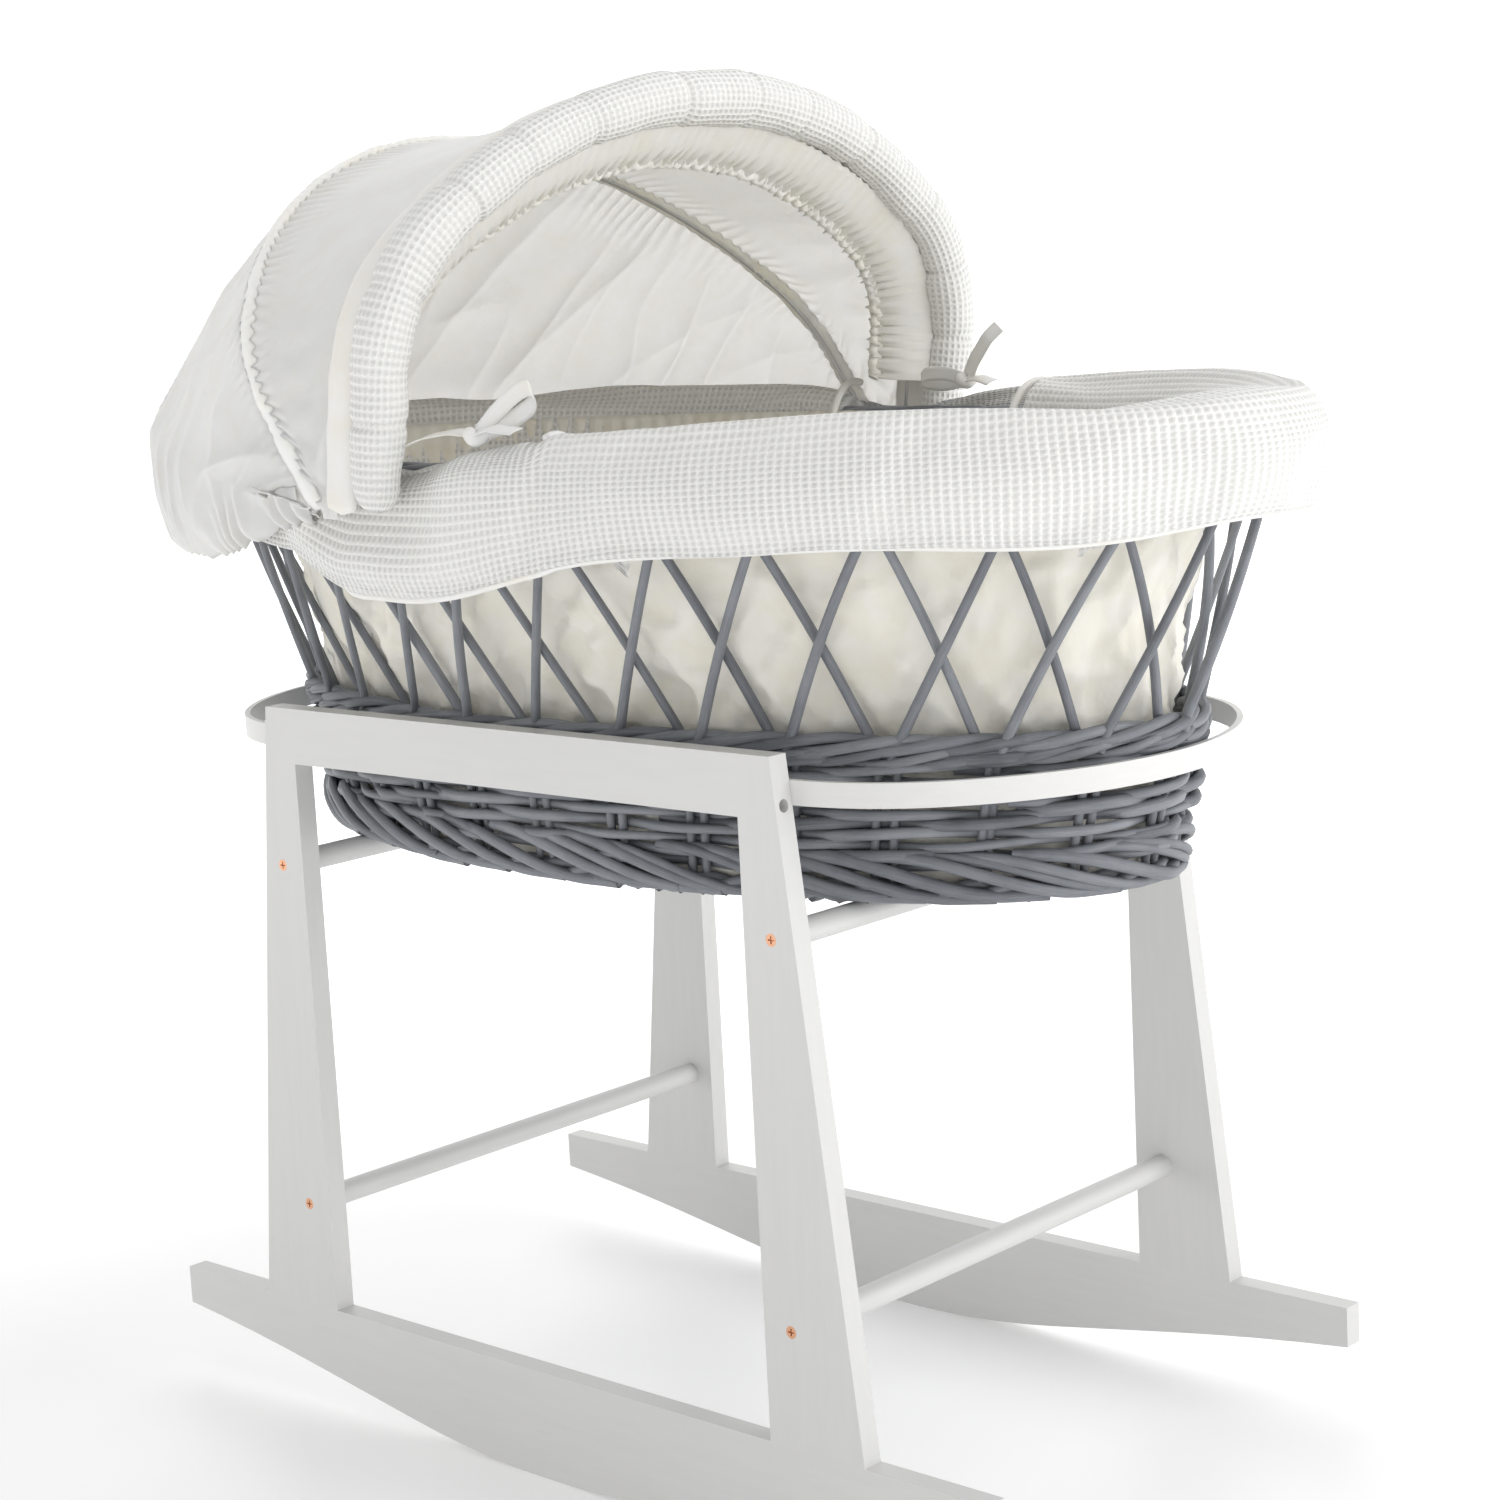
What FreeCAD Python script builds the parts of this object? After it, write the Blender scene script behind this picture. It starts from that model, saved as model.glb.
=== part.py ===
import FreeCAD, Part
import math
import os
import Sketcher

os.makedirs("parts", exist_ok=True)

# An oval wicker bassinet with a quilted liner and a folding hood, carried by a wooden rocking stand.
# Millimetres. Origin on the floor under the middle; +X to the foot end, +Z up, the sides at -Y and +Y.

doc = FreeCAD.newDocument("Bassinet")
sheet = doc.addObject("Spreadsheet::Sheet", "Sizes")
Vector = FreeCAD.Vector
Rotation = FreeCAD.Rotation
row = 0


def size(alias, value, note=""):
    """Put one driving dimension in the sheet."""
    global row
    row += 1
    sheet.set("A%d" % row, str(value))
    sheet.set("B%d" % row, note)
    sheet.setAlias("A%d" % row, alias)


# stand
size("standHeight", 500, "floor to the top of the legs and rails")
size("standInside", 376, "between the inner faces of the two side frames")
size("boardThick", 15)
size("standWidth", "=standInside + 2 * boardThick", "over the outer faces of the side frames")
size("legInset", 203, "inner edge of a leg from the middle")
size("legTopWidth", 27)
size("legFootWidth", 75)
size("railHeight", 38)
size("rockerLength", 740)
size("rockerDepth", 74, "at the middle, so also the height of the legs' feet")
size("rockerRadius", 760, "round middle of the rocker")
size("rockerRound", 125, "half length of the round middle")
size("rockerStraight", 230, "where the straight slope ends")
size("rockerTipRadius", 2230, "hollow sweep at each tip")
size("dowelDia", 16)
size("dowelInset", 224.5, "dowel axis from the middle")
size("dowelDrop", 110, "upper dowels, which carry the basket, below the top of the stand")
size("upperDowelZ", "=standHeight - dowelDrop")
size("lowerDowelZ", 148)
size("socketDepth", 5, "dowel ends let into the legs")
size("screwDia", 4)
size("screwLength", 45)
size("screwHead", 8)
size("screwHeadTall", 2.2)
size("boltDia", 5)
size("boltHeadDia", 7.6)
size("boltHeadTall", 5)
size("boltLength", 50)
size("boltHoleDia", 8, "counterbore in the leg's edge")
size("boltRecess", 8)
size("boltEdge", 4, "how far the sloping edge has run out at the bolt")
size("boltDrop", 30, "bolt axis below the top of the rail")
size("nutDia", 10)
size("nutLength", 12)
size("pinDia", 8)
size("pinLength", 40)
size("pinInset", 20, "first rocker pin from the leg's inner edge")
size("pinPitch", 36)
size("fastenerGap", 0.05, "radial clearance round screws, bolts and pins")
size("stripThick", 4)
size("stripTall", 15)
size("stripDrop", 16, "top of the lath below the top of the stand")
size("stripReach", 382, "outer face of the bent lath from the middle")
size("stripStart", 226, "where the lath leaves the board and bends")
size("stripTail", 34, "straight end of the lath along the board")
size("stripCorner", 132)
size("stripScrewDia", 3)
size("stripScrewLength", 12)
size("stripScrewHead", 6)
size("stripScrewHeadTall", 1.6)
size("recessLong", 0.6, "cross recess, as shares of the screw head")
size("recessWide", 0.12)
size("recessDeep", 0.6)

# basket
size("basketShift", 5, "middle of the basket towards the foot end")
size("restGap", 0.3, "soft or woven pieces on their neighbours")
size("basketBaseLong", 356)
size("basketBaseWide", 177)
size("basketWaistLong", 374)
size("basketWaistWide", 184)
size("basketRimLong", 419)
size("basketRimWide", 241)
size("footBorderTall", 20)
size("sideWeaveTall", 70)
size("waistTall", 14)
size("latticeTall", 152)
size("rimTall", 14)
size("weaveThick", 10)
size("baseThick", 8)
size("borderProud", 3, "foot border and waist braid stand out from the wall")
size("rimThick", 16)
size("rodDia", 6)
size("rodPairs", 28)
size("rodSpread", 0.06, "half the gap between paired rods at the waist, in rod pitches")
size("rodLean", 1.15, "top shift of a leaning rod, in rod pitches")
size("rodLayerGap", 5.4, "between the two families of rods where they cross")
size("rodEndGap", 2, "cut end of a rod to the band above or below it")
size("linerThick", 2)
size("linerInset", 27, "liner inside the lattice at the ends")
size("linerSideInset", 19, "liner inside the lattice at the sides")
size("floorThick", 1.4)
size("skirtThick", 22, "quilted skirt outside the rim")
size("skirtDrop", 51, "skirt below the top of the rim")
size("skirtRise", 18, "skirt above the top of the rim")
size("skirtGap", 3, "rim to skirt")
size("skirtSideExtra", 2)
size("bindingTall", 4)
size("slotLength", 150, "opening in the skirt over the rim, one each side")
size("slotWide", 12)
size("slotShift", 14)
size("mattressLong", 668)
size("mattressWide", 308)
size("mattressThick", 40)
size("mattressRound", 6)

# hood
size("hoodFootRise", 262, "from the upper dowels")
size("hoodFootZ", "=upperDowelZ + hoodFootRise", "height of the hoops' feet")
size("frontWireShift", -46)
size("frontWireOut", 31, "foot of the front hoop outside the rim")
size("frontWireWide", "=basketRimWide + frontWireOut", "half width of the front hoop")
size("frontWireTall", 243)
size("frontLean", 7.7, "degrees, towards the foot end")
size("midWireShift", -76)
size("midWireOut", 29)
size("midWireWide", "=basketRimWide + midWireOut")
size("midWireTall", 268)
size("midLean", -34.7)
size("hoopLeg", 67, "straight part of a hoop")
size("hoopCorner", 120)
size("wireDia", 4)
size("casingDia", 11)
size("wireGap", 0.2)
size("capDia", 7)
size("capTall", 10)
size("rollDia", 38)
size("rollShift", -16, "quilted roll along X")
size("rollOut", 4, "middle of the quilted roll outside the front hoop")
size("rollWide", "=frontWireWide + rollOut")
size("rollTall", 241)
size("softRise", 40, "from the hoops' feet to the lowest point of the rolls, above the skirt")
size("softBase", "=hoodFootZ + softRise")
size("ruffleDeep", 34)
size("ruffleInset", 12, "elastic edge in from the roll edge")
size("ruffleGap", 5, "ruffle to the inner side of the roll")
size("panelThick", 2.5)
size("panelGap", 1.5, "panel edge to casing")
size("hoodReach", 457, "back of the hood from the basket's middle")
size("hoodOut", 8, "hood wider than the rear hoop")
size("hoodWide", "=midWireWide + hoodOut")
size("hoodBackTall", 284, "half way between the rear hoop and the rim")
size("hoodBackLean", -58)
size("hoodBackLeg", 60)
size("hoodBackCorner", 125)
size("shoulderLean", -82, "where the hood turns down over the skirt")
size("shoulderCorner", 400)
size("shoulderIn", 3)
size("hemCorner", 425)
size("hemBehind", 8, "feet of the hem behind those of the rear hoop")
size("hemRound", 4, "hood wider at the skirt than at its hem and hoop")
size("hemDrop", 46, "hem below the hoops' feet")
size("hemZ", "=hoodFootZ - hemDrop")
size("hemReach", 442)
size("hemIn", 4, "hem narrower than the rear hoop")
size("hemWide", "=midWireWide - hemIn")
size("tieLength", 60)
size("tieWide", 9)
size("tieThick", 1.5)
size("tieKnot", 16)
size("nearTieX", 48)
size("farTieX", 34)
doc.recompute()


def val(alias):
    """Read one size from the sheet as a number."""
    return float(sheet.get(alias))


def at(x=0, y=0, z=0, axis=None, angle=0):
    turn = Rotation(axis, angle) if axis else Rotation()
    return FreeCAD.Placement(Vector(x, y, z), turn)


nodes = []


def node(obj, label):
    """Name a finished sub-part; its label names its file."""
    obj.Label = label
    nodes.append(obj)
    return obj


def bind(obj, **rules):
    for prop, rule in rules.items():
        obj.setExpression(prop.replace("_", "."), rule)
    return obj


def cylinder(name, radius, height, placement, **rules):
    """A cylinder with its radius and height bound to the sheet."""
    obj = doc.addObject("Part::Cylinder", name)
    obj.Placement = placement
    return bind(obj, Radius=radius, Height=height, **rules)


def cut(name, base, tools):
    """Take one or more tools from a base."""
    if len(tools) > 1:
        tool = doc.addObject("Part::MultiFuse", name + "Tools")
        tool.Shapes = tools
    else:
        tool = tools[0]
    obj = doc.addObject("Part::Cut", name)
    obj.Base = base
    obj.Tool = tool
    return obj


def oval(name, longHalf, wideHalf, z):
    """An ellipse round the basket's middle; its long half axis lies along X."""
    obj = doc.addObject("Part::Ellipse", name)
    obj.Placement = at()
    return bind(obj, MajorRadius=longHalf, MinorRadius=wideHalf,
                Placement_Base_x="Sizes.basketShift", Placement_Base_z=z)


def ovalLoft(name, levels):
    """A straight-sided solid through ovals given as (long, wide, z) rules."""
    rings = [oval("%sOval%d" % (name, i), *level) for i, level in enumerate(levels)]
    obj = doc.addObject("Part::Loft", name)
    obj.Sections = rings
    obj.Solid = True
    obj.Ruled = True
    return obj


def originPlane(body, role):
    return [f for f in body.Origin.OriginFeatures if f.Role == role][0]


def pin(sketch, geometry, corner, xRule, yRule):
    """Fix one sketch point by its distances from the origin."""
    point = sketch.getPoint(geometry, corner)
    for kind, now, rule in (("DistanceX", point.x, xRule), ("DistanceY", point.y, yRule)):
        if rule is None:
            continue
        index = sketch.addConstraint(Sketcher.Constraint(kind, -1, 1, geometry, corner, now))
        sketch.setExpression("Constraints[%d]" % index, rule)


def boardSketch(body, name):
    sketch = body.newObject("Sketcher::SketchObject", name)
    sketch.AttachmentSupport = [(originPlane(body, "XZ_Plane"), "")]
    sketch.MapMode = "FlatFace"
    return sketch


def joinEnds(sketch, count):
    for i in range(count):
        sketch.addConstraint(Sketcher.Constraint("Coincident", i, 2, (i + 1) % count, 1))


# ---- stand: legs, rails, rockers ----

def legBoard(label):
    """A tapered board, drawn for the foot end at -Y with its outer face at Y = 0."""
    body = doc.addObject("PartDesign::Body", label + "Board")
    sketch = boardSketch(body, label + "Outline")
    inner = val("legInset")
    footZ = val("rockerDepth")
    top = val("standHeight")
    corners = [(inner, footZ), (inner + val("legFootWidth"), footZ),
               (inner + val("legTopWidth"), top), (inner, top)]
    for i in range(len(corners)):
        start = Vector(*corners[i], 0)
        end = Vector(*corners[(i + 1) % len(corners)], 0)
        sketch.addGeometry(Part.LineSegment(start, end))
    joinEnds(sketch, len(corners))
    pin(sketch, 0, 1, "Sizes.legInset", "Sizes.rockerDepth")
    pin(sketch, 1, 1, "Sizes.legInset + Sizes.legFootWidth", "Sizes.rockerDepth")
    pin(sketch, 2, 1, "Sizes.legInset + Sizes.legTopWidth", "Sizes.standHeight")
    pin(sketch, 3, 1, "Sizes.legInset", "Sizes.standHeight")
    pad = body.newObject("PartDesign::Pad", label + "Pad")
    pad.Profile = sketch
    bind(pad, Length="Sizes.boardThick")
    pad.Reversed = True
    body.Tip = pad
    return body


def legCutters(label):
    """Dowel sockets, screw holes, the bolt's counterbore and the rocker pins' holes."""
    tools = []
    inward = Vector(1, 0, 0)
    for place in ("upper", "lower"):
        height = "Sizes.%sDowelZ" % place
        common = {"Placement_Base_x": "Sizes.dowelInset", "Placement_Base_z": height}
        tools.append(cylinder(label + place + "Socket", "Sizes.dowelDia / 2", "Sizes.socketDepth + 5",
                              at(axis=inward, angle=-90),
                              Placement_Base_y="Sizes.boardThick - Sizes.socketDepth", **common))
        tools.append(cylinder(label + place + "Hole", "Sizes.screwDia / 2 + Sizes.fastenerGap",
                              "Sizes.boardThick", at(axis=inward, angle=-90), **common))
        sink = doc.addObject("Part::Cone", label + place + "Sink")
        sink.Placement = at(axis=inward, angle=-90)
        bind(sink, Radius1="Sizes.screwHead / 2 + Sizes.fastenerGap",
             Radius2="Sizes.screwDia / 2 + Sizes.fastenerGap", Height="Sizes.screwHeadTall", **common)
        tools.append(sink)
    boltZ = {"Placement_Base_z": "Sizes.standHeight - Sizes.boltDrop",
             "Placement_Base_y": "Sizes.boardThick / 2"}
    along = at(axis=Vector(0, 1, 0), angle=90)
    tools.append(cylinder(label + "BoltHole", "Sizes.boltDia / 2 + Sizes.fastenerGap",
                          "Sizes.legFootWidth", along, Placement_Base_x="Sizes.legInset - 1", **boltZ))
    tools.append(cylinder(label + "Counterbore", "Sizes.boltHoleDia / 2", "Sizes.legFootWidth", along,
                          Placement_Base_x="Sizes.legInset + Sizes.legTopWidth + Sizes.boltEdge"
                          " - Sizes.boltRecess - Sizes.boltHeadTall", **boltZ))
    for i in range(2):
        tools.append(cylinder(label + "PinHole%d" % i, "Sizes.pinDia / 2 + Sizes.fastenerGap",
                              "Sizes.pinLength / 2 + 1", at(),
                              Placement_Base_x="Sizes.legInset + Sizes.pinInset + %d * Sizes.pinPitch" % i,
                              Placement_Base_y="Sizes.boardThick / 2",
                              Placement_Base_z="Sizes.rockerDepth - 1"))
    tools.append(cylinder(label + "StripHole", "Sizes.stripScrewDia / 2 + Sizes.fastenerGap",
                          "Sizes.stripScrewLength", at(axis=inward, angle=-90),
                          Placement_Base_x="Sizes.stripStart - Sizes.stripTail / 3",
                          Placement_Base_y="Sizes.boardThick + Sizes.stripThick - Sizes.stripScrewLength",
                          Placement_Base_z="Sizes.standHeight - Sizes.stripDrop - Sizes.stripTall / 2"))
    return tools


def mirrored(name, source, normal):
    obj = doc.addObject("Part::Mirroring", name)
    obj.Source = source
    obj.Base = Vector(0, 0, 0)
    obj.Normal = normal
    return obj


legMaster = cut("legMaster", legBoard("leg"), legCutters("leg"))
legFootNear = doc.addObject("Part::Compound", "legFootNear")
legFootNear.Links = [legMaster]
bind(legFootNear, Placement_Base_y="-Sizes.standWidth / 2")
legHeadNear = mirrored("legHeadNear", legFootNear, Vector(1, 0, 0))
legFootFar = mirrored("legFootFar", legFootNear, Vector(0, 1, 0))
legHeadFar = mirrored("legHeadFar", legHeadNear, Vector(0, 1, 0))
node(legFootNear, "leg_foot_near")
node(legHeadNear, "leg_head_near")
node(legFootFar, "leg_foot_far")
node(legHeadFar, "leg_head_far")


def rail():
    """The board between a pair of legs, drilled at both ends for its bolts and barrel nuts."""
    board = doc.addObject("Part::Box", "railBoard")
    bind(board, Length="2 * Sizes.legInset", Width="Sizes.boardThick", Height="Sizes.railHeight",
         Placement_Base_x="-Sizes.legInset", Placement_Base_y="-Sizes.standWidth / 2",
         Placement_Base_z="Sizes.standHeight - Sizes.railHeight")
    tools = []
    for side, sign in (("Head", -1), ("Foot", 1)):
        boltStart = "Sizes.legInset" if sign > 0 else "-Sizes.legInset"
        tools.append(cylinder("railBoltHole" + side, "Sizes.boltDia / 2 + Sizes.fastenerGap",
                              "Sizes.boltLength", at(axis=Vector(0, 1, 0), angle=-90 * sign),
                              Placement_Base_x=boltStart,
                              Placement_Base_y="(Sizes.boardThick - Sizes.standWidth) / 2",
                              Placement_Base_z="Sizes.standHeight - Sizes.boltDrop"))
        tools.append(cylinder("railNutHole" + side, "Sizes.nutDia / 2 + Sizes.fastenerGap",
                              "Sizes.nutLength + 1", at(axis=Vector(1, 0, 0), angle=90),
                              Placement_Base_x="%d * (Sizes.legInset - 2 * Sizes.nutDia)" % sign,
                              Placement_Base_y="-Sizes.standWidth / 2 + Sizes.boardThick + 1",
                              Placement_Base_z="Sizes.standHeight - Sizes.boltDrop"))
    return cut("railNear", board, tools)


railNear = node(rail(), "rail_near")
railFar = node(mirrored("railFar", railNear, Vector(0, 1, 0)), "rail_far")


def rocker():
    """Half the rocker's outline padded and mirrored: a round middle, a straight slope, a hollow tip."""
    body = doc.addObject("PartDesign::Body", "rockerBoard")
    sketch = boardSketch(body, "rockerOutline")
    radius = val("rockerRadius")
    roundEnd = val("rockerRound")
    rise = radius - math.sqrt(radius ** 2 - roundEnd ** 2)
    slope = math.asin(roundEnd / radius)
    straight = val("rockerStraight")
    straightZ = rise + (straight - roundEnd) * math.tan(slope)
    tipRadius = val("rockerTipRadius")
    tip = val("rockerLength") / 2
    centre = Vector(straight + tipRadius * math.sin(slope), straightZ - tipRadius * math.cos(slope), 0)
    tipZ = centre.y + math.sqrt(tipRadius ** 2 - (tip - centre.x) ** 2)
    top = val("rockerDepth")
    middle = Part.Circle(Vector(0, radius, 0), Vector(0, 0, 1), radius)
    hollow = Part.Circle(centre, Vector(0, 0, 1), tipRadius)
    startAngle = math.atan2(tipZ - centre.y, tip - centre.x)
    sketch.addGeometry(Part.ArcOfCircle(middle, -math.pi / 2, -math.pi / 2 + slope))
    sketch.addGeometry(Part.LineSegment(Vector(roundEnd, rise, 0), Vector(straight, straightZ, 0)))
    sketch.addGeometry(Part.ArcOfCircle(hollow, startAngle, math.pi / 2 + slope))
    sketch.addGeometry(Part.LineSegment(Vector(tip, tipZ, 0), Vector(tip, top, 0)))
    sketch.addGeometry(Part.LineSegment(Vector(tip, top, 0), Vector(0, top, 0)))
    sketch.addGeometry(Part.LineSegment(Vector(0, top, 0), Vector(0, 0, 0)))
    for first, a, second, b in ((0, 2, 1, 1), (1, 2, 2, 2)):
        sketch.addConstraint(Sketcher.Constraint("Tangent", first, a, second, b))
    for first, a, second, b in ((2, 1, 3, 1), (3, 2, 4, 1), (4, 2, 5, 1), (5, 2, 0, 1)):
        sketch.addConstraint(Sketcher.Constraint("Coincident", first, a, second, b))
    sketch.addConstraint(Sketcher.Constraint("PointOnObject", 0, 3, -2))
    for geometry, alias in ((0, "rockerRadius"), (2, "rockerTipRadius")):
        index = sketch.addConstraint(Sketcher.Constraint("Radius", geometry, val(alias)))
        sketch.setExpression("Constraints[%d]" % index, "Sizes." + alias)
    sketch.addConstraint(Sketcher.Constraint("Coincident", 0, 1, -1, 1))
    sketch.addConstraint(Sketcher.Constraint("Vertical", 3))
    sketch.addConstraint(Sketcher.Constraint("Horizontal", 4))
    pin(sketch, 1, 1, "Sizes.rockerRound", None)
    pin(sketch, 1, 2, "Sizes.rockerStraight", None)
    pin(sketch, 3, 2, "Sizes.rockerLength / 2", "Sizes.rockerDepth")
    sketch.addConstraint(Sketcher.Constraint("Vertical", 5))
    pad = body.newObject("PartDesign::Pad", "rockerPad")
    pad.Profile = sketch
    bind(pad, Length="Sizes.boardThick")
    pad.Reversed = True
    doc.recompute()
    whole = body.newObject("PartDesign::Mirrored", "rockerWhole")
    whole.Originals = [pad]
    whole.MirrorPlane = (originPlane(body, "YZ_Plane"), [""])
    body.Tip = whole
    tools = []
    for side in (-1, 1):
        for i in range(2):
            rule = "%d * (Sizes.legInset + Sizes.pinInset + %d * Sizes.pinPitch)" % (side, i)
            tools.append(cylinder("rockerPinHole%d%d" % (side + 1, i),
                                  "Sizes.pinDia / 2 + Sizes.fastenerGap", "Sizes.pinLength / 2 + 1", at(),
                                  Placement_Base_x=rule, Placement_Base_y="Sizes.boardThick / 2",
                                  Placement_Base_z="Sizes.rockerDepth - Sizes.pinLength / 2"))
    return cut("rockerMaster", body, tools)


rockerNear = doc.addObject("Part::Compound", "rockerNear")
rockerNear.Links = [rocker()]
bind(rockerNear, Placement_Base_y="-Sizes.standWidth / 2")
node(rockerNear, "rocker_near")
node(mirrored("rockerFar", rockerNear, Vector(0, 1, 0)), "rocker_far")

# ---- stand: dowels and fasteners ----

for place in ("upper", "lower"):
    for end, sign in (("head", -1), ("foot", 1)):
        name = "%sDowel%s" % (place, end.capitalize())
        spot = {"Placement_Base_x": "%d * Sizes.dowelInset" % sign,
                "Placement_Base_z": "Sizes.%sDowelZ" % place}
        rod = cylinder(name + "Rod", "Sizes.dowelDia / 2",
                       "Sizes.standWidth - 2 * Sizes.boardThick + 2 * Sizes.socketDepth",
                       at(axis=Vector(1, 0, 0), angle=-90),
                       Placement_Base_y="Sizes.boardThick - Sizes.socketDepth - Sizes.standWidth / 2",
                       **spot)
        pilots = []
        for face in (-1, 1):
            pilots.append(cylinder(name + "Pilot%d" % (face + 1), "Sizes.screwDia / 2 + Sizes.fastenerGap",
                                   "Sizes.screwLength + 1", at(axis=Vector(1, 0, 0), angle=90 * face),
                                   Placement_Base_y="%d * Sizes.standWidth / 2" % face, **spot))
        node(cut(name, rod, pilots), "%s_dowel_%s" % (place, end))


def fromShapes(label, shapes):
    """A group of separate solids, or one solid, as a named sub-part."""
    obj = doc.addObject("Part::Feature", label.title().replace("_", ""))
    obj.Shape = Part.makeCompound(shapes) if len(shapes) > 1 else shapes[0]
    obj.Placement = at()
    return node(obj, label)


def countersunkScrew(tip, direction, length, shank, head, headTall):
    """A screw whose flush head has a cross recess; tip is the middle of the head's flat face."""
    start = tip
    body = Part.makeCylinder(shank / 2, length, start, direction)
    body = body.fuse(Part.makeCone(head / 2, shank / 2, headTall, start, direction))
    bar = head * val("recessLong")
    wide = head * val("recessWide")
    for turn in (0, 90):
        slot = Part.makeBox(bar, wide, headTall * val("recessDeep"))
        slot.translate(Vector(-bar / 2, -wide / 2, 0))
        slot.rotate(Vector(0, 0, 0), Vector(0, 0, 1), turn)
        slot.Placement = at(start.x, start.y, start.z).multiply(
            FreeCAD.Placement(Vector(), Rotation(Vector(0, 0, 1), direction))).multiply(slot.Placement)
        body = body.cut(slot)
    return body


half = val("standWidth") / 2
thick = val("boardThick")
screws = []
for height in (val("upperDowelZ"), val("lowerDowelZ")):
    for end in (-1, 1):
        for face in (-1, 1):
            tip = Vector(end * val("dowelInset"), face * half, height)
            screws.append(countersunkScrew(tip, Vector(0, -face, 0), val("screwLength"), val("screwDia"),
                                           val("screwHead"), val("screwHeadTall")))
fromShapes("dowel_screws", screws)

stripZ = val("standHeight") - val("stripDrop") - val("stripTall") / 2
stripScrewX = val("stripStart") - val("stripTail") / 3
smallScrews = []
for end in (-1, 1):
    for face in (-1, 1):
        tip = Vector(end * stripScrewX, face * (half - thick - val("stripThick")), stripZ)
        smallScrews.append(countersunkScrew(tip, Vector(0, face, 0), val("stripScrewLength"),
                                            val("stripScrewDia"), val("stripScrewHead"),
                                            val("stripScrewHeadTall")))
fromShapes("strip_screws", smallScrews)

boltZ = val("standHeight") - val("boltDrop")
boltHeadX = val("legInset") + val("legTopWidth") + val("boltEdge") - val("boltRecess")
nutX = val("legInset") - 2 * val("nutDia")
bolts = []
nuts = []
for end in (-1, 1):
    for face in (-1, 1):
        boltY = face * (half - thick / 2)
        inward = Vector(-end, 0, 0)
        top = Vector(end * boltHeadX, boltY, boltZ)
        head = Part.makeCylinder(val("boltHeadDia") / 2, val("boltHeadTall"), top, inward)
        shank = Part.makeCylinder(val("boltDia") / 2, val("boltLength"), top, inward)
        bolts.append(head.fuse(shank).removeSplitter())
        nutStart = Vector(end * nutX, face * (half - thick), boltZ)
        barrel = Part.makeCylinder(val("nutDia") / 2, val("nutLength"), nutStart, Vector(0, face, 0))
        hole = Part.makeCylinder(val("boltDia") / 2 + val("fastenerGap"), 2 * val("nutDia"),
                                 Vector(end * (nutX + val("nutDia")), boltY, boltZ), inward)
        nuts.append(barrel.cut(hole))
fromShapes("rail_bolts", bolts)
fromShapes("barrel_nuts", nuts)

pins = []
for end in (-1, 1):
    for face in (-1, 1):
        for i in range(2):
            pinX = end * (val("legInset") + val("pinInset") + i * val("pinPitch"))
            foot = Vector(pinX, face * (half - thick / 2), val("rockerDepth") - val("pinLength") / 2)
            pins.append(Part.makeCylinder(val("pinDia") / 2, val("pinLength"), foot))
fromShapes("rocker_pins", pins)

# ---- arches: a straight leg, a corner arc, a crown arc, and the same again ----

def archEdges(width, tall, leg, corner, start=0.0):
    """Edges in the plane Z = 0 from (-width, start) over (0, tall) to (width, start)."""
    rise = tall - leg
    crown = ((width - corner) ** 2 + rise ** 2 - corner ** 2) / (2 * (rise - corner))
    crownY = tall - crown
    joint = Vector(width - corner, leg, 0) - Vector(0, crownY, 0)
    joint.normalize()
    if crown < corner:
        joint = joint * -1
    meet = Vector(0, crownY, 0) + joint * crown
    middle = Vector(width - corner, leg, 0)
    half = joint + Vector(1, 0, 0)
    half.normalize()
    shoulder = middle + half * corner

    def flip(point):
        return Vector(-point.x, point.y, 0)

    foot = Vector(width, start, 0)
    knee = Vector(width, leg, 0)
    top = Vector(0, tall, 0)
    return [Part.LineSegment(flip(foot), flip(knee)).toShape(),
            Part.Arc(flip(knee), flip(shoulder), flip(meet)).toShape(),
            Part.Arc(flip(meet), top, meet).toShape(),
            Part.Arc(meet, shoulder, knee).toShape(),
            Part.LineSegment(knee, foot).toShape()]


def archPlane(shift, base, lean):
    """Arch width lies along Y and its height along a line leaning from +Z towards +X."""
    tilt = math.radians(lean)
    across = Vector(0, 1, 0)
    up = Vector(math.sin(tilt), 0, math.cos(tilt))
    turn = Rotation(across, up, across.cross(up), "XYZ")
    return FreeCAD.Placement(Vector(shift, 0, base), turn)


def archWire(width, tall, place, leg, corner, start=0.0):
    wire = Part.Wire(archEdges(width, tall, leg, corner, start))
    wire.Placement = place
    return wire


def archFace(width, tall, place, leg, corner, start=0.0):
    """The arch closed by a straight line between its feet."""
    edges = archEdges(width, tall, leg, corner, start)
    edges.append(Part.LineSegment(Vector(width, start, 0), Vector(-width, start, 0)).toShape())
    wire = Part.Wire(edges)
    wire.Placement = place
    return wire


def tube(path, radius, bore=0.0):
    """A round tube along a wire of straight runs and tangent arcs."""
    start = path.Edges[0].Vertexes[0].Point
    direction = path.Edges[0].tangentAt(path.Edges[0].FirstParameter)
    shapes = []
    for r in (radius, bore):
        if r > 0:
            ring = Part.Wire(Part.Circle(start, direction, r).toShape())
            shapes.append(path.makePipeShell([ring], True, False))
    return shapes[0].cut(shapes[1]) if bore > 0 else shapes[0]


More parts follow.
